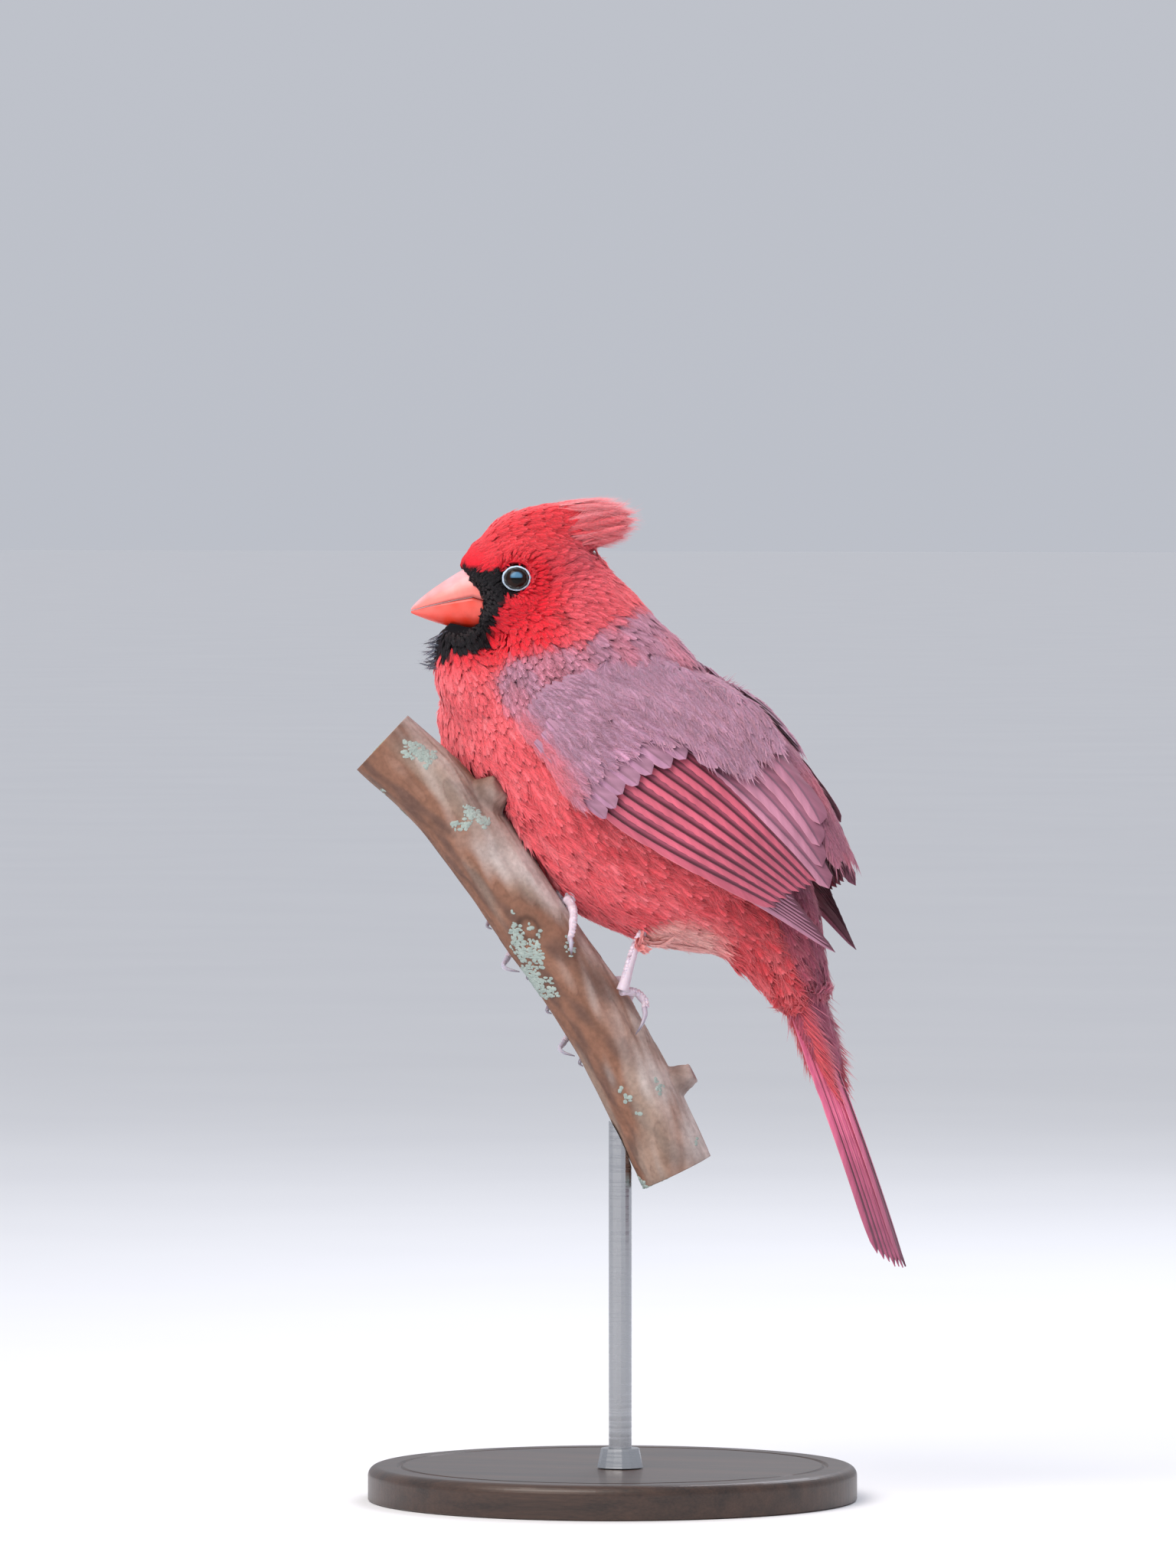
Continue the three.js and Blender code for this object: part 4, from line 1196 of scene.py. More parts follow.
def wing_quill(row, share, draw):
    """One quill of a row on the left wing; share is its place in the row, 0 at the flank."""
    (u0, v0), (u1, v1) = (np.array(row[key][0]) + (np.array(row[key][1]) - row[key][0]) * share
                          for key in ("root", "tip"))
    t = np.linspace(0, 1, QUILL_STATIONS)
    u = u0 + (u1 - u0) * t + draw.normal(0, 0.004)
    v = v0 + (v1 - v0) * t ** 1.3
    lift = row["lift"][0] + (row["lift"][1] - row["lift"][0]) * share + 0.35 * t
    lift = lift * (row["sink"] + (1 - row["sink"]) * smooth(0, 0.6, t))
    up = unit(wing_out(u, v))
    for _ in range(3):
        up[1:-1] = unit(up[1:-1] + 0.5 * (up[2:] + up[:-2]))
    centre = on_wing(u, v) + up * lift[:, None]
    for _ in range(4):
        centre[1:-1] = 0.5 * centre[1:-1] + 0.25 * (centre[2:] + centre[:-2])
    ahead = unit(np.gradient(centre, axis=0))
    up = unit(up - ahead * dot(up, ahead))
    down = on_wing(u, v + 0.03) - on_wing(u, v - 0.03)
    hand = np.sign(dot(np.cross(up, ahead), down).sum())
    outer, inside_half = row["half"]
    shade = draw.uniform(0.93, 1.07)
    return quill(centre, ahead, up, outer, inside_half, hand, row["edge"] * shade, row["vane"] * shade,
                 draw, pointed=row["pointed"], camber=0.45, dusk=row["dusk"], shaft=row["shaft"])


def mirrored(quills):
    return [(place * [1, -1, 1], paint, flat) for place, paint, flat in quills]


for name, row in WING_ROWS.items():
    draw = np.random.default_rng(SEED + len(name))
    left = [wing_quill(row, k / (row["count"] - 1), draw) for k in range(row["count"])]
    for hand, quills in (("left", left), ("right", mirrored(left))):
        slot = "plumage_mauve" if name == "coverts" else "flight_feathers"
        quill_piece(f"wing_{hand}_{name}_quills", quills, slot, f"wing_{hand}_{name}")

# %% [markdown]
# The roots of the coverts, the folded arm and the long scapulars over the tertials are soft again.
# They are body feathers laid on the plate in staggered rows, larger towards the quills.

# %% Wing shoulder and scapulars
def thinned(places, gaps):
    """Which places to keep, so that each is at least its gap from all those kept before it."""
    kept = []
    for i, place in enumerate(places):
        if all(np.sum((places[j] - place) ** 2) > gaps[i] ** 2 for j in kept):
            kept.append(i)
    return kept


def wing_coat():
    """Roots on the plate's front and along the back edge, thinned to a spacing that grows to the rear."""
    draw = np.random.default_rng(SEED + 7)
    u, v = draw.uniform(-0.05, 0.44, 5200), draw.uniform(-0.06, 1.03, 5200)
    front = u < 0.16 + 0.14 * np.clip(1 - v, 0, 1)
    scapular = v < 0.40 - 0.35 * np.maximum(u - 0.1, 0)
    keep = front | scapular
    u, v = u[keep], v[keep]
    kept = thinned(on_wing(u, v), 1.25 + 1.6 * np.clip(u, 0, 0.4))
    u, v = u[kept], v[kept]
    long = 5.2 + 9 * np.clip(u + 0.02, 0, 0.4)
    long = long * np.where(v < 0.4, 1.25, 1.0) * draw.uniform(0.85, 1.15, len(u))
    drift = np.where(v < 0.4, 0.05, -0.01) + draw.normal(0, 0.02, len(u))
    rise = 0.2 + 2.4 * smooth(-0.06, 0.1, u) + 2.2 * smooth(0.0, 0.25, u)
    root = on_wing(u, v) + wing_out(u, v) * (rise - 1.0)[:, None]
    step = long / 96
    middle = on_wing(u + step * 0.5, v + drift * 0.5) + wing_out(u + step * 0.5, v) * (rise + 0.35)[:, None]
    tip = on_wing(u + step, v + drift) + wing_out(u + step, v) * (rise + 0.3)[:, None]
    return u, v, root, middle, tip, wing_out(u, v), wing_out(u + step, v), long


u, v, root, middle, tip, up_root, up_tip, long = wing_coat()
draw = np.random.default_rng(SEED + 8)
colour = mix(fill(MANTLE_MAUVE * 0.95, len(u)), COVERT_EDGE, 0.45 * smooth(0.1, 0.3, u) * (v > 0.4))
colour = mix(colour, BREAST_RED * 0.9, 0.65 * smooth(0.80, 0.98, v) * smooth(0.22, 0.08, u))
colour = colour * (1 + 0.12 * wander(root, 3, 9)[:, None])
for hand, flip in (("left", 1), ("right", -1)):
    turn = np.array([1, flip, 1])
    grown = grow(root * turn, middle * turn, tip * turn, up_root * turn, up_tip * turn, long * 0.27,
                 colour, draw, pale=0.45)
    piece = feather_mesh(f"wing_{hand}_soft", grown, CONTOUR, "plumage_mauve")
    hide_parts(f"wing_{hand}_shoulder")

# %% [markdown]
# Folded, the two wings' inner edges nearly meet over the back. The longest scapulars and the loose
# inner vanes roof the slot between them, as long soft feathers on an arch from wing to wing.

# %% Roof of the back
def back_roof():
    """Feathers on an arch over the back; u runs along it and w from wing to wing."""
    draw = np.random.default_rng(SEED + 11)
    u, w = draw.uniform(0.0, 0.86, 2600), draw.uniform(-1, 1, 2600)
    edge = WING_LINES[0]

    def arch(u, w, rise):
        near = np.clip(u, 0, 0.98)
        slope = edge.at(near + 0.02) - edge.at(near)
        place = edge.at(np.clip(u, 0, 1)) + slope * (np.maximum(u - 1, 0) / 0.02)[:, None]
        out = unit(np.c_[-slope[:, 2], np.zeros(len(u)), slope[:, 0]])
        height = rise + 1.6 * (1 - w ** 2)
        half = np.abs(place[:, 1]) + 1.5
        return np.c_[place[:, 0], w * half, place[:, 2]] + out * height[:, None], out

    kept = thinned(arch(u, w, np.zeros(len(u)))[0], 1.9 + 0.6 * u)
    u, w = u[kept], w[kept]
    long = (8 + 7 * u) * draw.uniform(0.85, 1.15, len(u))
    step = long / 82
    root, out = arch(u, w, np.full(len(u), 1.2))
    middle, _ = arch(u + step / 2, w, np.full(len(u), 3.0))
    tip, out_tip = arch(u + step, w * 0.97, np.full(len(u), 2.6))
    lean = SIDEWAYS * w[:, None] * 0.5
    colour = mix(fill(MANTLE_MAUVE, len(u)), TERTIAL_VANE, smooth(0.2, 0.6, u))
    colour = mix(colour, BREAST_RED, 0.25 * np.clip(wander(root, 6, 31), 0, 1))
    return grow(root, middle, tip, unit(out + lean), unit(out_tip + lean), long * 0.16,
                colour, draw, pale=0.35)


feather_mesh("coat_back_roof", back_roof(), CONTOUR, "plumage_mauve")

# %% [markdown]
# The tail is twelve long quills on one line, the middle pair on top and each pair below it a
# little shorter, so that shut they make one narrow blade with a shallow fan at its end.

# %% Tail
TAIL_ROOT = np.array([54.3, 0, 131.5])
TAIL_TIP = np.array([80, 0, 62.5])
TAIL_WAY = unit(TAIL_TIP - TAIL_ROOT)
TAIL_UP = unit(np.array([-TAIL_WAY[2], 0, TAIL_WAY[0]]))
TAIL_LONG = np.linalg.norm(TAIL_TIP - TAIL_ROOT)
TAIL_EDGE = linear("#d8688c")
TAIL_VANE = linear("#96405e")


def tail_quills():
    """Six pairs, from the outermost and lowest pair to the middle one."""
    draw = np.random.default_rng(SEED + 9)
    quills = []
    for pair in range(5, -1, -1):
        for hand in (-1, 1):
            share = pair / 5
            t = np.linspace(-0.08, 1 - 0.075 * share ** 2 - 0.01 * draw.random(), QUILL_STATIONS)
            off = hand * (0.5 + 0.9 * pair + (0.9 + 0.75 * pair) * np.clip(t, 0, 1))
            drop = -0.5 - (0.62 * pair + (0.2 if hand > 0 else 0)) * (1.15 - 0.55 * t) - 1.1 * share ** 2 * t
            centre = (TAIL_ROOT + TAIL_WAY * (t * TAIL_LONG)[:, None] + SIDEWAYS * off[:, None]
                      + TAIL_UP * drop[:, None])
            centre += TAIL_UP * (0.8 * np.sin(np.pi * np.clip(t, 0, 1)))[:, None]
            ahead = unit(np.gradient(centre, axis=0))
            up = unit(np.tile(TAIL_UP + np.array([0, 0.10 * hand * pair, 0]), (QUILL_STATIONS, 1)))
            up = unit(up - ahead * dot(up, ahead))
            side = np.sign((np.cross(up, ahead)[:, 1] * hand).sum())
            outer, inside_half = (2.3, 3.4) if pair else (3.2, 2.6)
            shade = draw.uniform(0.92, 1.06)
            quills.append(quill(centre, ahead, up, outer, inside_half, side, TAIL_EDGE * shade,
                                TAIL_VANE * shade, draw, pointed=0.12, camber=0.3, tip_dusk=0.5))
    return quills


quill_piece("tail_quills", tail_quills(), "flight_feathers", "tail")


def tail_coverts():
    """Long soft feathers that lap from the rump over the tail's root, above and below."""
    draw = np.random.default_rng(SEED + 10)
    count = 900
    turn = draw.uniform(0, 2 * np.pi, count)
    t = draw.uniform(-0.26, 0.06, count)
    ring = np.c_[np.cos(turn) * 4.6, np.sin(turn) * 8.2]

    def at(stop, scale):
        share = (scale * (1 + 2.6 * np.maximum(0, -stop) - 0.8 * np.clip(stop, 0, 1)))[:, None]
        return (TAIL_ROOT + TAIL_WAY * (stop * TAIL_LONG)[:, None] + TAIL_UP * (ring[:, :1] * share - 1.5)
                + SIDEWAYS * ring[:, 1:] * share)

    long = np.where(ring[:, 0] < 0, 20, 14) * draw.uniform(0.7, 1.1, count)
    out = unit(TAIL_UP * ring[:, :1] / 4.6 + SIDEWAYS * ring[:, 1:] / 8.2)
    root = at(t, 0.8)
    middle = at(t + 0.5 * long / TAIL_LONG, 1.0)
    tip = at(t + long / TAIL_LONG, 0.72)
    # Painted shade: the under coverts are painted a deeper red than the belly, for the shadow under the tail.
    low = mix(BELLY_RED, PAINTED_SHADE_RED, 0.3)
    colour = mix(fill(low, count), mix(RUMP_DUSK, TAIL_EDGE, 0.35), smooth(-2.5, 1.5, ring[:, 0]))
    return grow(root, middle, tip, out, out, long * 0.13, colour, draw, pale=0.25)


feather_mesh("coat_tail_coverts", tail_coverts(), CONTOUR, "plumage_red")

# %% [markdown]
# The bill is horn: smooth, translucent at its edges, coral, with a painted highlight along the ridge where
# the sky lies on it. Both halves follow the solids' own outline, in finer steps, and the upper one
# overhangs the lower along the cutting edge. The paint runs from the ridge's painted highlight to orange-red
# below, and a painted highlight lies along the lower half's upper side.

# %% Bill
HEAD_PIVOT = np.array([-8.0, 0, 0])


def on_head(p):
    """Places drawn on the head's own axes, forward along -X, turned with the head."""
    q = p - HEAD_PIVOT
    c, s = math.cos(LOOK_TURN), math.sin(LOOK_TURN)
    x, y, z = q[..., 0], q[..., 1], q[..., 2]
    return np.stack([x * c - y * s, x * s + y * c, z], axis=-1) + HEAD_PIVOT


def horn_material(name, roughness, coat):
    """Horn, satin: painted from the mesh, with fine growth lines."""
    material, tree = new_material(name)
    painted(tree, noise(tree, 700.0, Detail=3.0), (0.3, 0.7, 0.93, 1.05), 0.15, 0.1, {
        "Roughness": roughness, "Coat Weight": coat, "Subsurface Weight": 0.12,
        "Subsurface Scale": 1.2 * MM})
    return material


BILL_HORN = horn_material("bill_horn_satin", 0.38, 0.15)
BILL_TIP = (-53.4, 232.2)
BILL_LONG = 19
UPPER_HIGHLIGHT = linear("#ffc3cd")
UPPER_CORAL = linear("#ef8078")
LOWER_RED = linear("#e93a22")
LOWER_HIGHLIGHT = linear("#f28a84")
GAPE_DARK = linear("#7a1e20")


def wrap_faces(rings, sides, bands):
    """Triangles over bands of closed rings; as many bands as rings joins the last to the first."""
    r, s = np.meshgrid(np.arange(bands), np.arange(sides), indexing="ij")
    a, b = r * sides + s, r * sides + (s + 1) % sides
    c, d = (r + 1) % rings * sides + (s + 1) % sides, (r + 1) % rings * sides + s
    return np.concatenate([np.stack([a, b, c], -1).reshape(-1, 3), np.stack([a, c, d], -1).reshape(-1, 3)])


def ring_faces(rings, sides):
    """Triangles over a row of closed rings, with both ends closed on a middle point."""
    tube_faces = wrap_faces(rings, sides, rings - 1)
    k = np.arange(sides)
    first, last = rings * sides, rings * sides + 1
    start = np.stack([np.full(sides, first), (k + 1) % sides, k], -1)
    end = (rings - 1) * sides
    stop = np.stack([np.full(sides, last), end + k, end + (k + 1) % sides], -1)
    return np.vstack([tube_faces, start, stop])


def ring_mesh(name, rings, paint, material, shade_smooth=True):
    """A closed loft through rings, an array of rings by sides by 3, with paint of the same shape."""
    count, sides = rings.shape[:2]
    points = np.vstack([rings.reshape(-1, 3), rings[0].mean(0), rings[-1].mean(0)])
    colours = np.vstack([paint.reshape(-1, 3), paint[0].mean(0), paint[-1].mean(0)])
    return make_mesh(name, points, outward(points, ring_faces(count, sides)), material, colours, shade_smooth)


def bill_half(upper):
    """Rings from the tip to the base of one half: an arch, and a flat side along the cutting edge."""
    steps, sides, flat_sides = 56, 48, 11
    t = (np.linspace(0, 1, steps) ** 1.3)[:, None]
    x = BILL_TIP[0] + 0.35 + BILL_LONG * t
    cut = BILL_TIP[1] + 0.3 + 5.2 * t - 1.2 * t ** 2 - 9 * np.maximum(0, t - 0.85)
    top = BILL_TIP[1] + 0.7 + 13.4 * t ** 0.78
    bottom = BILL_TIP[1] - 0.2 - 4.6 * np.sin(np.pi / 2 * t) ** 0.9
    half = bill_half_width(t)
    angle = np.linspace(0, np.pi, sides - flat_sides)[None]
    lift = np.sin(angle) ** 0.85
    far, narrow, gap = (top, 1, 0.02) if upper else (bottom, 0.97, -0.14)
    arch_y = half * np.cos(angle) * narrow
    arch_z = cut + gap + (far - cut) * lift
    floor_y = np.linspace(-1, 1, flat_sides + 2)[None, 1:-1] * half * narrow
    floor_z = cut + gap + np.zeros_like(floor_y)
    ring = np.stack([np.broadcast_to(x, (steps, sides)), np.hstack([arch_y, floor_y]),
                     np.hstack([arch_z, floor_z])], axis=-1)
    high = np.hstack([np.broadcast_to(lift, (steps, sides - flat_sides)), np.zeros((steps, flat_sides))])
    t = np.broadcast_to(t, (steps, sides))
    flow = wander(ring.reshape(-1, 3), 3, 11 if upper else 12).reshape(steps, sides) * 0.12
    # Painted highlight: the upper half pales towards its ridge, and the lower half pales along its upper
    # side, where the sky's light lies.
    if upper:
        paint = mix(fill(UPPER_CORAL, steps, sides), UPPER_HIGHLIGHT,
                    np.clip(smooth(0.25, 0.95, high) * (0.45 + 0.55 * t) + flow, 0, 1))
    else:
        paint = mix(fill(LOWER_RED, steps, sides), LOWER_HIGHLIGHT,
                    np.clip(smooth(0.9, 0.3, high) * 0.35 + flow, 0, 1))
    paint = mix(paint, GAPE_DARK, smooth(0.10, 0.0, high) * 0.55)
    return on_head(ring), paint


for name, upper in (("bill_upper", True), ("bill_lower", False)):
    ring, paint = bill_half(upper)
    piece = ring_mesh(f"{name}_horn", ring, paint, BILL_HORN)
    finish_piece(piece, "bill", name)
print("bill", BILL_LONG, "mm")

# %% [markdown]
# A songbird's eye is a wet ball behind a round opening. The lid's bare rim is dark, and round it a
# narrow ring painted pale blue-grey is a painted reflection of the sky. The ball keeps its real depth in the
# head.
# Out of doors the sky lies blue on its upper half. The pale room light here gives no such patch, so
# it is painted on the ball, and unlike a real reflection it stays put when the viewer moves.

# %% Eyes
EYE_PLACE = (-25.4, 11.1, 241)
EYE_RADIUS = 3.7


def eye_material():
    """Wet eye, glossy: black pupil, dark brown iris and a painted sky reflection, all under one clear film.
    """
    material, tree = new_material("eye_wet_gloss")
    paint = add(tree, "ShaderNodeAttribute", attribute_name="Paint")
    shade(tree, {"Base Color": paint.outputs["Color"], "Roughness": 0.04, "Specular IOR Level": 0.16})
    return material


EYE_WET = eye_material()
LID_SKIN = horn_material("eyelid_skin_satin", 0.45, 0.1)


def eye_ball(hand):
    """A ball with its poles across the head, a slightly bulged cornea, pupil and iris rings, and a painted
    reflection of the sky on its upper half.
    """
    rings, sides = 40, 48
    polar = np.linspace(0.02, np.pi - 0.02, rings)[:, None]
    round_it = np.linspace(0, 2 * np.pi, sides, endpoint=False)[None]
    out = np.cos(polar) + np.zeros_like(round_it)
    place = np.stack([np.sin(polar) * np.cos(round_it), hand * out, np.sin(polar) * np.sin(round_it)], -1)
    bulge = 1 + 0.02 * smooth(0.75, 1.0, out)[..., None]
    centre = np.array([EYE_PLACE[0], hand * EYE_PLACE[1], EYE_PLACE[2]])
    off = np.sin(polar) + 0 * round_it
    iris = mix(fill(linear("#0a0708"), rings, sides), linear("#24120d"), smooth(0.34, 0.42, off) * 0.9)
    iris = mix(iris, linear("#120b0c"), smooth(0.62, 0.74, off))
    # Painted reflection: a soft sky-blue patch on the ball's upper half, painted into the iris's colour.
    across, high = place[..., 0] / 0.44, (place[..., 2] - 0.16) / 0.32
    sky = smooth(1.05, 0.75, np.hypot(across, high)) * smooth(0.0, 0.12, place[..., 2])
    iris = mix(iris, linear("#5f8fb4"), 0.75 * sky)
    return on_head(place * EYE_RADIUS * bulge + centre), iris


def eye_ring(hand, wide, high, out, thick, colour, seed):
    """An oval rim round the eye, its middle line out from the head's middle by a distance."""
    rings, sides = 72, 14
    round_it = np.linspace(0, 2 * np.pi, rings, endpoint=False)[:, None]
    section = np.linspace(0, 2 * np.pi, sides, endpoint=False)[None]
    size = thick * (1 + 0.12 * np.sin(9 * round_it + seed) + 0.08 * np.sin(17 * round_it))
    reach = 1 + size * np.cos(section) / wide
    fall = (np.cos(round_it) ** 2) * 0.35
    place = np.stack([wide * reach * np.cos(round_it) + EYE_PLACE[0],
                      hand * (out - fall + size * 0.8 * np.sin(section)),
                      high * reach * np.sin(round_it) + EYE_PLACE[2] + 0 * section], -1)
    # Painted light: both rings are painted lighter along their upper side, for light from above, with a fine
    # ripple of tone.
    shade = 0.8 + 0.25 * np.sin(round_it) + 0.1 * np.sin(31 * round_it)
    paint = colour * (shade + 0 * section)[..., None]
    points = on_head(place).reshape(-1, 3)
    return points, outward(points, wrap_faces(rings, sides, rings)), paint.reshape(-1, 3)


for name, hand in (("left", -1), ("right", 1)):
    ball, iris = eye_ball(hand)
    finish_piece(ring_mesh(f"eye_{name}_ball", ball, iris, EYE_WET), "eye", f"eye_{name}")
    # The rim's pale blue-grey is a painted reflection of the sky on the lid's edge.
    for part, size in (("lid", (2.85, 2.5, 13.62, 0.52, linear("#161214"), 1)),
                       ("rim", (3.45, 3.0, 13.6, 0.32, linear("#c3d6ea"), 2))):
        points, faces, paint = eye_ring(hand, *size)
        piece = make_mesh(f"eye_{name}_{part}", points, faces, LID_SKIN, paint, shade_smooth=True)
        finish_piece(piece, "eye")
print("eyes", 2 * EYE_RADIUS, "mm across")

# %% [markdown]
# A perching bird's leg is a thin shank, scaled down its front, and four jointed toes with a curved
# claw on each. The toes go round the branch on the same lines as the solids. Their scutes are one
# plate laid again and again along a line, so Geometry Nodes lays them.

# %% Legs and toes
LEG = horn_material("leg_skin_satin", 0.5, 0.05)
CLAW = horn_material("claw_horn_gloss", 0.3, 0.3)
LEG_PALE = linear("#dccfdc")
LEG_DARK = linear("#9a7f90")
CLAW_PALE = linear("#b9b3c4")
CLAW_DARK = linear("#4f4450")
SCUTE_STEP = 0.95
TOE_RADIUS = 1.05
TOE_HEIGHT = TOE_RADIUS * 1.22 + 0.3
FEET = {
    "right": dict(joint=0.449, angle=8, shank=[(-8.4, 1.6, 159), (-4, 4.5, 166)],
                  hallux=([0, 0.022, 0.052, 0.064], [12, 30, 52, 60], [0, 0.9, 0.9, 0.2]),
                  hind=[(0.07, 64), (0.08, 68), (0.092, 70)]),
    "left": dict(joint=0.648, angle=38, shank=[(6.6, -6, 146.5), (11, -4, 153)],
                 hallux=([0, 0.018, 0.038, 0.05], [36, 16, 16, 22], [0, 1, 1.6, 1.2]),
                 hind=[(0.06, 30), (0.072, 42), (0.082, 52)]),
}
FRONT_TOES = {
    "inner": ([-0.012, -0.034, -0.046, -0.048], [-20, -60, -96, -126],
              [(-0.046, -138), (-0.04, -150), (-0.032, -160)]),
    "middle": ([0.0, 0.008, 0.02, 0.03], [-22, -76, -126, -164],
               [(0.036, -178), (0.046, -190), (0.062, -199)]),
    "outer": ([0.014, 0.04, 0.062, 0.072], [-18, -56, -92, -120],
              [(0.077, -132), (0.083, -144), (0.09, -154)]),
}


def toe_radius(t):
    """Thick at the joints between the pads, and narrowing to the claw."""
    return TOE_RADIUS * (1.12 - 0.3 * t + 0.10 * np.cos(6 * np.pi * t)) * (1 - 0.35 * t ** 12)


def tube(points, radius, sides=18, steps=40, flat=1.0):
    """Rings round a curve through points, in frames that turn as little as they can."""
    line = Line(points)
    s = np.linspace(0, 1, steps)
    centre, ahead = line.along(s), line.tangent(s)
    up = np.zeros_like(ahead)
    start = UPWARD if abs(ahead[0, 2]) < 0.8 else ACROSS
    up[0] = unit(start - ahead[0] * np.dot(start, ahead[0]))
    for k in range(1, steps):
        up[k] = unit(up[k - 1] - ahead[k] * np.dot(up[k - 1], ahead[k]))
    side = np.cross(ahead, up)
    turn = np.linspace(0, 2 * np.pi, sides, endpoint=False)
    size = radius(s)
    return (centre[:, None] + up[:, None] * (np.cos(turn)[None] * size[:, None])[..., None]
            + side[:, None] * (np.sin(turn)[None] * size[:, None] * flat)[..., None]), centre, ahead


def branch_out(p):
    """The direction away from the branch's middle line."""
    gap = np.linalg.norm(p[:, None] - BRANCH_STOPS[None], axis=2)
    return unit(p - BRANCH_STOPS[np.argmin(gap, axis=1)])


scutes = []
for side, foot in FEET.items():
    joint = foot["joint"]
    toes = {name: (steps, angles, [0] * 4, claw) for name, (steps, angles, claw) in FRONT_TOES.items()}
    toes["hallux"] = (*foot["hallux"], foot["hind"])
    for name, (steps, angles, out, claw) in toes.items():
        points = around_branch(joint + np.array(steps), angles, TOE_HEIGHT + np.array(out))
        rings, centre, ahead = tube(points, toe_radius)
        pads = wander(rings.reshape(-1, 3), 0.9, 15).reshape(rings.shape[:2]) * 0.5 + 0.5
        paint = mix(fill(LEG_PALE, *rings.shape[:2]), LEG_DARK, 0.35 * np.clip(pads, 0, 1))
        piece = ring_mesh(f"toe_{name}_{side}", rings, paint, LEG)
        finish_piece(piece, "leg_skin", f"{name}_{side}")
        scutes.append((centre[2:-2], branch_out(centre[2:-2]), 0.95 * TOE_RADIUS))
        hook = np.array([around_branch(joint + step, angle, TOE_HEIGHT + reach)[0]
                         for (step, angle), reach in zip(claw, [1.4, 1, -0.75])])
        rings, _, _ = tube(np.vstack([points[-1], hook]), lambda t: 0.85 * (1 - t) ** 0.7 + 0.1, 16, 32, 0.8)
        t = np.linspace(0, 1, len(rings))[:, None, None]
        paint = mix(fill(CLAW_PALE, *rings.shape[:2]), CLAW_DARK,
                    (smooth(0.35, 1, t) * 0.8 + np.zeros((1, rings.shape[1], 1)))[..., 0])
        piece = ring_mesh(f"claw_{name}_{side}_horn", rings, paint, CLAW)
        finish_piece(piece, "claw", f"claw_{name}_{side}")
    shank = [around_branch(joint, foot["angle"], TOE_HEIGHT + 0.5)[0]]
    shank += [on_branch_plane(along, up, BRANCH_DEPTH + depth) for along, depth, up in foot["shank"]]
    rings, centre, ahead = tube(shank, lambda t: 1.1 + 0.55 * (1 - 2 * t) ** 2, 20, 40)
    paint = fill(mix(LEG_PALE, LEG_DARK, 0.15), *rings.shape[:2])
    piece = ring_mesh(f"tarsus_{side}_skin", rings, paint, LEG)
    finish_piece(piece, "leg_skin", f"tarsus_{side}")
    front = unit(-ACROSS * 0.8 - AWAY * 0.5 + np.zeros_like(centre))
    front = unit(front - ahead * dot(front, ahead))
    scutes.append((centre[1:-1], front[1:-1], 1.12))


def node_group(name, **inputs):
    """A Geometry Nodes tree with a mesh and these named inputs; also the inputs' identifiers."""
    tree = bpy.data.node_groups.new(name, "GeometryNodeTree")
    face = tree.interface
    face.new_socket("Geometry", in_out="INPUT", socket_type="NodeSocketGeometry")
    made = [face.new_socket(label, in_out="INPUT", socket_type=f"NodeSocket{kind}")
            for label, kind in inputs.items()]
    face.new_socket("Geometry", in_out="OUTPUT", socket_type="NodeSocketGeometry")
    return tree, add(tree, "NodeGroupInput"), [socket.identifier for socket in made]


def finish_group(tree, instances, material):
    real = add(tree, "GeometryNodeRealizeInstances", {"Geometry": instances})
    done = add(tree, "GeometryNodeSetMaterial", {
        "Geometry": real.outputs["Geometry"], "Material": material})
    add(tree, "NodeGroupOutput", {"Geometry": done.outputs["Geometry"]})


def scute_nodes():
    """Geometry Nodes: one low plate at every step of each line, standing on the leg's surface."""
    tree, given, identifiers = node_group("scutes", Spacing="Float", Skin="Material")
    line = add(tree, "GeometryNodeMeshToCurve", {"Mesh": given.outputs["Geometry"]})
    even = add(tree, "GeometryNodeResampleCurve", {
        "Curve": line.outputs["Curve"], "Length": given.outputs["Spacing"]}, mode="LENGTH")
    out = add(tree, "GeometryNodeInputNamedAttribute", {"Name": "Out"}, data_type="FLOAT_VECTOR")
    wide = add(tree, "GeometryNodeInputNamedAttribute", {"Name": "Wide"}, data_type="FLOAT")
    tangent = add(tree, "GeometryNodeInputTangent")
    stand = add(tree, "FunctionNodeAlignRotationToVector", {
        "Vector": out.outputs["Attribute"]}, axis="Z")
    turned = add(tree, "FunctionNodeAlignRotationToVector", {
        "Rotation": stand.outputs["Rotation"], "Vector": tangent.outputs["Tangent"]},
        axis="X", pivot_axis="Z")
    plate_mesh = add(tree, "GeometryNodeMeshUVSphere", {"Segments": 10, "Rings": 6, "Radius": 1.0})
    size = add(tree, "ShaderNodeCombineXYZ", {"X": 0.62 * MM, "Z": 0.36 * MM})
    tree.links.new(wide.outputs["Attribute"], size.inputs["Y"])
    laid = add(tree, "GeometryNodeInstanceOnPoints", {
        "Points": even.outputs["Curve"], "Instance": plate_mesh.outputs["Mesh"],
        "Rotation": turned.outputs["Rotation"], "Scale": size.outputs["Vector"]})
    finish_group(tree, laid.outputs["Instances"], given.outputs["Skin"])
    return tree, identifiers


def through_nodes(made, tree, identifiers, values):
    """The object's mesh after a Geometry Nodes tree with these inputs, as a plain mesh."""
    modifier = made.modifiers.new(tree.name, "NODES")
    modifier.node_group = tree
    for identifier, value in zip(identifiers, values):
        modifier[identifier] = value
    made.update_tag()
    return apply_modifiers(made)


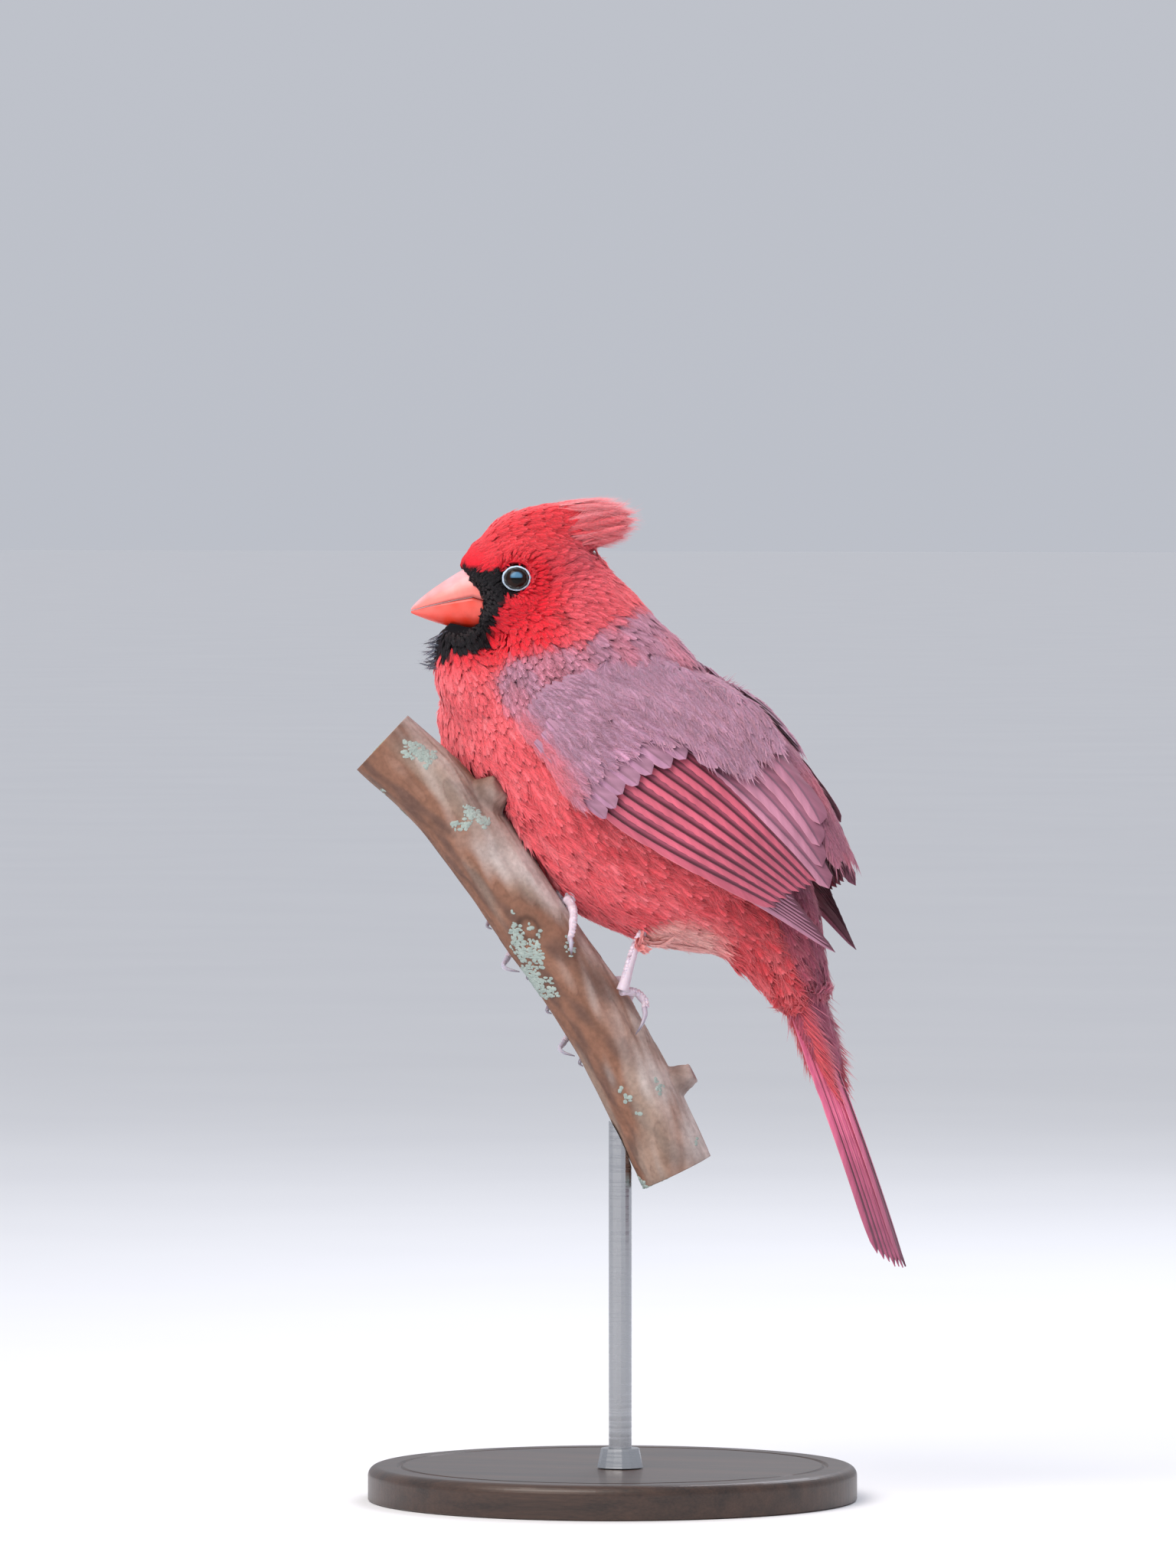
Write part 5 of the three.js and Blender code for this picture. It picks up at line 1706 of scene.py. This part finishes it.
def scute_piece():
    """Every leg's and toe's line as loose edges, which the nodes turn into rows of plates."""
    points = np.vstack([centre + out * wide * 0.92 for centre, out, wide in scutes])
    outs = np.vstack([out for _, out, _ in scutes])
    wides = np.concatenate([np.full(len(centre), wide * 0.74) for centre, _, wide in scutes])
    mesh = bpy.data.meshes.new("leg_scutes")
    edges, base = [], 0
    for centre, _, _ in scutes:
        edges += [(base + k, base + k + 1) for k in range(len(centre) - 1)]
        base += len(centre)
    mesh.from_pydata([tuple(p * MM) for p in points], edges, [])
    mesh.attributes.new("Out", "FLOAT_VECTOR", "POINT").data.foreach_set(
        "vector", outs.astype(np.float32).ravel())
    mesh.attributes.new("Wide", "FLOAT", "POINT").data.foreach_set(
        "value", (wides * MM).astype(np.float32))
    made = bpy.data.objects.new("leg_scutes", mesh)
    link(made)
    through_nodes(made, *scute_nodes(), (SCUTE_STEP * MM, LEG))
    p = coordinates(made.data)
    set_paint(made.data, mix(fill(LEG_PALE * 1.1, len(p)), LEG_DARK,
                             np.clip(0.3 + 0.3 * wander(p, 1.2, 16), 0, 1)))
    print("scutes:", len(made.data.polygons), "faces")
    return finish_piece(made, "leg_skin")


scute_piece()

# %% [markdown]
# The perch is a smooth-barked branch whose thin outer bark peels in pale sheets and bares rust
# brown beneath. Its upper side is painted paler grey, a painted highlight, a thin band of painted light runs
# along its underside, and the ends are sawn, with rings.
# One dense mesh carries the bark's steps as relief, and paint on its vertices carries the patches.

# %% Perch
BARK_RUST = linear("#86604f")
BARK_BROWN = linear("#6c5046")
BARK_GREY = linear("#a09084")
BARK_PALE = linear("#cdc5c3")
WOOD_PALE = linear("#cdb08a")
WOOD_RING = linear("#8d6a45")
KNOTS = [(0.205, 12, 4.6, 3.6), (0.842, -4, 5.0, 2.9)]


def bark_material():
    """Bark, matt: patches painted on the mesh, with fine pores and lengthwise wrinkles."""
    material, tree = new_material("bark_peeling_matt")
    both = math_of(tree, "ADD", noise(tree, 900.0, Detail=4.0),
                   noise(tree, 160.0, Detail=4.0, Distortion=1.0))
    painted(tree, both, (0.7, 1.3, 0.8, 1.15), 0.4, 0.3, {"Roughness": 0.85, "Specular IOR Level": 0.3})
    return material


BARK = bark_material()


def degrees_from(turn, middle):
    """How many degrees round the branch a place is from a middle, either way."""
    return np.degrees(np.arctan2(np.sin(turn - middle), np.cos(turn - middle)))


def perch():
    """The bark from end to end, with ring by ring relief, and flat sawn ends."""
    steps, sides = 420, 150
    t, angle = np.meshgrid(np.linspace(0, 1, steps), np.arange(sides) * 360 / sides, indexing="ij")
    flat = around_branch(t.ravel(), angle.ravel(), 0.0)
    out = branch_out(flat)
    turn = np.radians(angle.ravel())
    long = t.ravel() * branch.length
    bark_map = np.c_[np.cos(turn) * 10, np.sin(turn) * 10, long * 0.45]
    peel = wander(bark_map, 9, 21) + 0.5 * wander(bark_map, 3.5, 22) + 0.25 * wander(bark_map, 1.3, 23)
    upper = np.cos(turn - 0.35)
    # The pale sheets gather on the upper side: partly the peeling bark, partly a painted highlight from
    # above.
    sheet_and_highlight = smooth(-0.1, 2.2, peel * 0.5 + 1.3 * upper - 0.2)
    wrinkle = wander(np.c_[np.cos(turn) * 30, np.sin(turn) * 30, long * 0.3], 4, 24)
    step = smooth(-0.05, 0.05, peel + 0.9 * upper - 0.25)
    height = -0.3 + 0.14 * step + 0.06 * wrinkle + 0.08 * wander(bark_map, 2, 25)
    paint = mix(fill(BARK_RUST, len(long)), BARK_BROWN, smooth(-0.3, 1.2, wander(bark_map, 5, 26)))
    paint = mix(paint, BARK_GREY, 0.5 * smooth(-0.2, 0.8, wander(bark_map, 7, 27)))
    # Painted highlight: the sheets' grey pales further towards the upper side.
    highlight_share = smooth(-0.5, 0.9, wander(bark_map, 8, 28) + upper)
    lit = mix(fill(BARK_GREY, len(long)), BARK_PALE, highlight_share)
    paint = mix(paint, lit, 0.8 * sheet_and_highlight)
    paint = mix(paint, paint * 1.12, step)
    edge = np.exp(-((peel + 0.9 * upper - 0.25) / 0.07) ** 2)
    paint = mix(paint, BARK_BROWN * 0.8, 0.22 * edge)
    # Painted light: a narrow grey band along the branch's underside, for light along its lower edge.
    under = np.exp(-((np.degrees(turn) - 196) / 9) ** 2)
    paint = mix(paint, BARK_GREY, 0.6 * under)
    scar_reach = np.hypot((long - 62) / 1.3, degrees_from(turn, 1.75) / 6.5)
    scar = np.exp(-(scar_reach - 2.4) ** 2 * 2.2)
    height -= 0.35 * scar
    paint = mix(paint, BARK_BROWN * 0.45, 0.7 * scar)
    for where, knot_angle, tall, wide in KNOTS:
        away = degrees_from(turn, np.radians(knot_angle))
        reach = np.hypot(long - (where + 0.004) * branch.length, np.radians(away) * 10)
        swell = smooth(wide * 1.55, wide * 0.75, reach)
        height += swell * tall
        rim = np.exp(-((reach - wide * 1.25) / 0.7) ** 2)
        paint = mix(paint, BARK_BROWN * 0.7, 0.6 * rim)
        paint = mix(paint, linear("#7b4a47"), 0.75 * smooth(wide, wide * 0.5, reach))
    rings = (flat + out * height[:, None]).reshape(steps, sides, 3)
    paint = paint.reshape(steps, sides, 3)
    return rings, paint


END_RINGS = 60
rings, paint = perch()
ends = []
for end in (0, -1):
    centre = rings[end].mean(0)
    shares = np.linspace(0.97, 0.02, END_RINGS)
    disc = centre + (rings[end] - centre)[None] * shares[:, None, None]
    ripple = np.sin(shares * 75 + 1.5 * np.sin(shares * 19)) * 0.5 + 0.5
    tone = mix(fill(WOOD_PALE, END_RINGS, rings.shape[1]), WOOD_RING,
               (ripple * 0.6)[:, None] + np.zeros((1, rings.shape[1])))
    tone = mix(tone, BARK_BROWN, (shares > 0.9)[:, None] * 0.9 + np.zeros((1, rings.shape[1])))
    ends.append((disc, tone))
all_rings = np.concatenate([ends[0][0][::-1], rings, ends[1][0]])
all_paint = np.concatenate([ends[0][1][::-1], paint, ends[1][1]])
piece = ring_mesh("perch_bark", all_rings, all_paint, BARK, shade_smooth=True)
print("perch", len(piece.data.polygons), "triangles")
finish_piece(piece, "bark", "perch")

# %% [markdown]
# Lichen grows on bark as thin crusty flakes, thickest on the weathered side. One small flat flake
# is scattered over the bark by Geometry Nodes, at a fixed seed, wherever patchy noise lets it.

# %% Lichen
def lichen_material():
    """Lichen crust, matt: pale grey-green, chalky."""
    material, tree = new_material("lichen_crust_matt")
    shade(tree, {"Base Color": two_tone(tree, noise(tree, 500.0), "#7f8d89", "#b4c1bb"),
                 "Roughness": 0.95})
    return material


def lichen_nodes():
    """Geometry Nodes: flat flakes of mixed sizes over the bark, where broad patches of noise allow."""
    tree, given, identifiers = node_group("lichen", Density="Float", Seed="Int", Crust="Material")
    patches = add(tree, "ShaderNodeTexNoise", {"Scale": 70.0, "Detail": 2.0}).outputs["Fac"]
    density = math_of(tree, "MULTIPLY", span(tree, patches, 0.64, 0.69), given.outputs["Density"])
    points = add(tree, "GeometryNodeDistributePointsOnFaces", {
        "Mesh": given.outputs["Geometry"], "Density": density,
        "Seed": given.outputs["Seed"]})
    flake = add(tree, "GeometryNodeMeshIcoSphere", {"Radius": 1.0, "Subdivisions": 1})
    spin = add(tree, "FunctionNodeRandomValue", {
        0: (0.0003, 0.0003, 0.0001), 1: (0.0009, 0.0007, 0.00025), "Seed": given.outputs["Seed"]},
        data_type="FLOAT_VECTOR")
    laid = add(tree, "GeometryNodeInstanceOnPoints", {
        "Points": points.outputs["Points"], "Instance": flake.outputs["Mesh"],
        "Rotation": points.outputs["Rotation"], "Scale": spin.outputs["Value"]})
    finish_group(tree, laid.outputs["Instances"], given.outputs["Crust"])
    return tree, identifiers


FLAKES_PER_SQUARE_METRE = 3500000.0
LICHEN_SEED = 4
ground = link(bpy.data.objects.new("lichen_flakes", piece.data.copy()))
through_nodes(ground, *lichen_nodes(), (FLAKES_PER_SQUARE_METRE, LICHEN_SEED, lichen_material()))
finish_piece(ground, "bark")
print("lichen", len(ground.data.polygons), "faces")

# %% [markdown]
# The stand stays out of the way: a disc turned in dark hardwood, satin where it was oiled, and a
# brushed steel rod in a small collar. Turning leaves a rounded edge and one shallow groove.

# %% Stand
def stretched(tree, scale):
    """The object's own coordinates, with a scale for each axis."""
    place = add(tree, "ShaderNodeTexCoord")
    return add(tree, "ShaderNodeMapping", {
        "Vector": place.outputs["Object"], "Scale": scale}).outputs["Vector"]


def wood_material():
    """Oiled dark hardwood, satin: straight grain along X, with pores."""
    material, tree = new_material("stand_hardwood_satin")
    grain = noise(tree, 1.0, Vector=stretched(tree, (12.0, 160.0, 160.0)), Detail=6.0, Distortion=0.6)
    pores = noise(tree, 1.0, Vector=stretched(tree, (150.0, 2200.0, 2200.0)))
    both = math_of(tree, "MULTIPLY_ADD", pores, 0.5, grain)
    shade(tree, {"Base Color": two_tone(tree, span(tree, both, 0.45, 1.0), "#1f1613", "#4b352a"),
                 "Normal": relief(tree, pores, 0.2, 0.1), "Roughness": 0.42, "Coat Weight": 0.15})
    return material


def steel_material():
    """Brushed steel, satin: fine rings round the rod from the lathe."""
    material, tree = new_material("stand_steel_brushed")
    lines = noise(tree, 1.0, Vector=stretched(tree, (60.0, 60.0, 1800.0)))
    shade(tree, {"Base Color": two_tone(tree, lines, "#a6a8ac", "#b9bbbf"),
                 "Roughness": span(tree, lines, 0.3, 0.7, 0.22, 0.4),
                 "Normal": relief(tree, lines, 0.08, 0.05), "Metallic": 1.0})
    return material


def turned_piece(name, profile, centre, material, slot, node, sides=180):
    """A closed shape turned round an upright line, from radius and height pairs."""
    turn = np.linspace(0, 2 * np.pi, sides, endpoint=False)
    rings = np.stack([np.stack([centre[0] + r * np.cos(turn), centre[1] + r * np.sin(turn),
                                np.full(sides, z)], -1) for r, z in profile])
    made = ring_mesh(name, rings, np.ones((*rings.shape[:2], 3)), material, shade_smooth=False)
    return finish_piece(made, slot, node)


def rounded(radius, low, high, bevel):
    """Profile pairs from the middle of the underside, out and up to the middle of the top."""
    corner = np.linspace(0, np.pi / 2, 9)
    pairs = [(0.01, low), (radius * 0.5, low), (radius - 0.4, low), (radius, low + 0.4)]
    pairs += [(radius - bevel * (1 - math.cos(c)), high - bevel * (1 - math.sin(c))) for c in corner]
    groove = [(7.5, 0), (8, 0.5), (8.7, 0.5), (9.2, 0)]
    pairs += [(radius - inwards, high - deep) for inwards, deep in groove]
    return pairs + [(radius * 0.5, high), (0.01, high)]


turned_piece("stand_disc", rounded(64, 0, 9, 2.6), (0, 0), wood_material(), "stand_wood", "stand_base")
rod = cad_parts["stand_rod"]
rod.data.materials.clear()
rod.data.materials.append(steel_material())

# %% [markdown]
# The photograph has flat, bright sky light from above with a little more from the camera's left.
# A pale floor and a pale world give the fill, one broad lamp gives the shape, and a second, weaker
# one from behind picks out the crest's and the back's edges.

# %% Floor and light
FLOOR_HALF_WIDTH = 40000            # mm, so far that its edge meets the sky
FLOOR_DROP = 0.05                   # mm below the disc, so that the two faces don't share a plane
SKY_STRENGTH = 0.75


def make_floor():
    material, tree = new_material("floor_paper_matt")
    shade(tree, {"Base Color": two_tone(tree, noise(tree, 6.0), "#eeeef1", "#f4f4f6"), "Roughness": 0.9})
    corners = [(x * FLOOR_HALF_WIDTH, y * FLOOR_HALF_WIDTH, -FLOOR_DROP)
               for x, y in ((-1, -1), (1, -1), (1, 1), (-1, 1))]
    floor = make_mesh("floor", corners, np.array([[0, 1, 2, 3]]), material)
    floor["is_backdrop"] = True


def make_lamp(name, azimuth, elevation, distance, size, power, colour):
    """A square lamp that faces the bird from a compass turn round the camera's line."""
    turn = LOOK_TURN + math.radians(azimuth)
    flat = Vector((math.sin(turn), -math.cos(turn), 0))
    rise = math.radians(elevation)
    data = bpy.data.lights.new(name, "AREA")
    data.shape = "SQUARE"
    data.size = size
    data.energy = power
    data.color = linear(colour)
    lamp = bpy.data.objects.new(name, data)
    lamp.location = flat * distance * math.cos(rise) + Vector((0, 0, 0.2 + distance * math.sin(rise)))
    lamp.rotation_euler = (Vector((0, 0, 0.19)) - lamp.location).to_track_quat("-Z", "Y").to_euler()
    link(lamp)


def make_world():
    """A pale sky, a little darker near the horizon, where it meets the floor's own tone."""
    world = bpy.data.worlds.new("pale sky")
    world.use_nodes = True
    tree = world.node_tree
    back = tree.nodes["Background"]
    way = add(tree, "ShaderNodeTexCoord")
    height = add(tree, "ShaderNodeSeparateXYZ", {"Vector": way.outputs["Generated"]}).outputs["Z"]
    tone = two_tone(tree, span(tree, height, 0.0, 0.3), "#d6dae4", "#e6e9f0")
    tree.links.new(tone, back.inputs["Color"])
    back.inputs["Strength"].default_value = SKY_STRENGTH
    bpy.context.scene.world = world


make_floor()
make_world()
make_lamp("key", -38, 42, 1.2, 0.9, 14, "#fff8f0")
make_lamp("rim", 150, 40, 1.3, 0.7, 7, "#f2f5ff")
bpy.context.scene.view_settings.view_transform = "Standard"
low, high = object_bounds()
size = {"cad": [list(cad_low), list(cad_high)], "visual": [list(low), list(high)]}
print("the looks' box in mm:", [round(c / MM) for c in (*low, *high)])
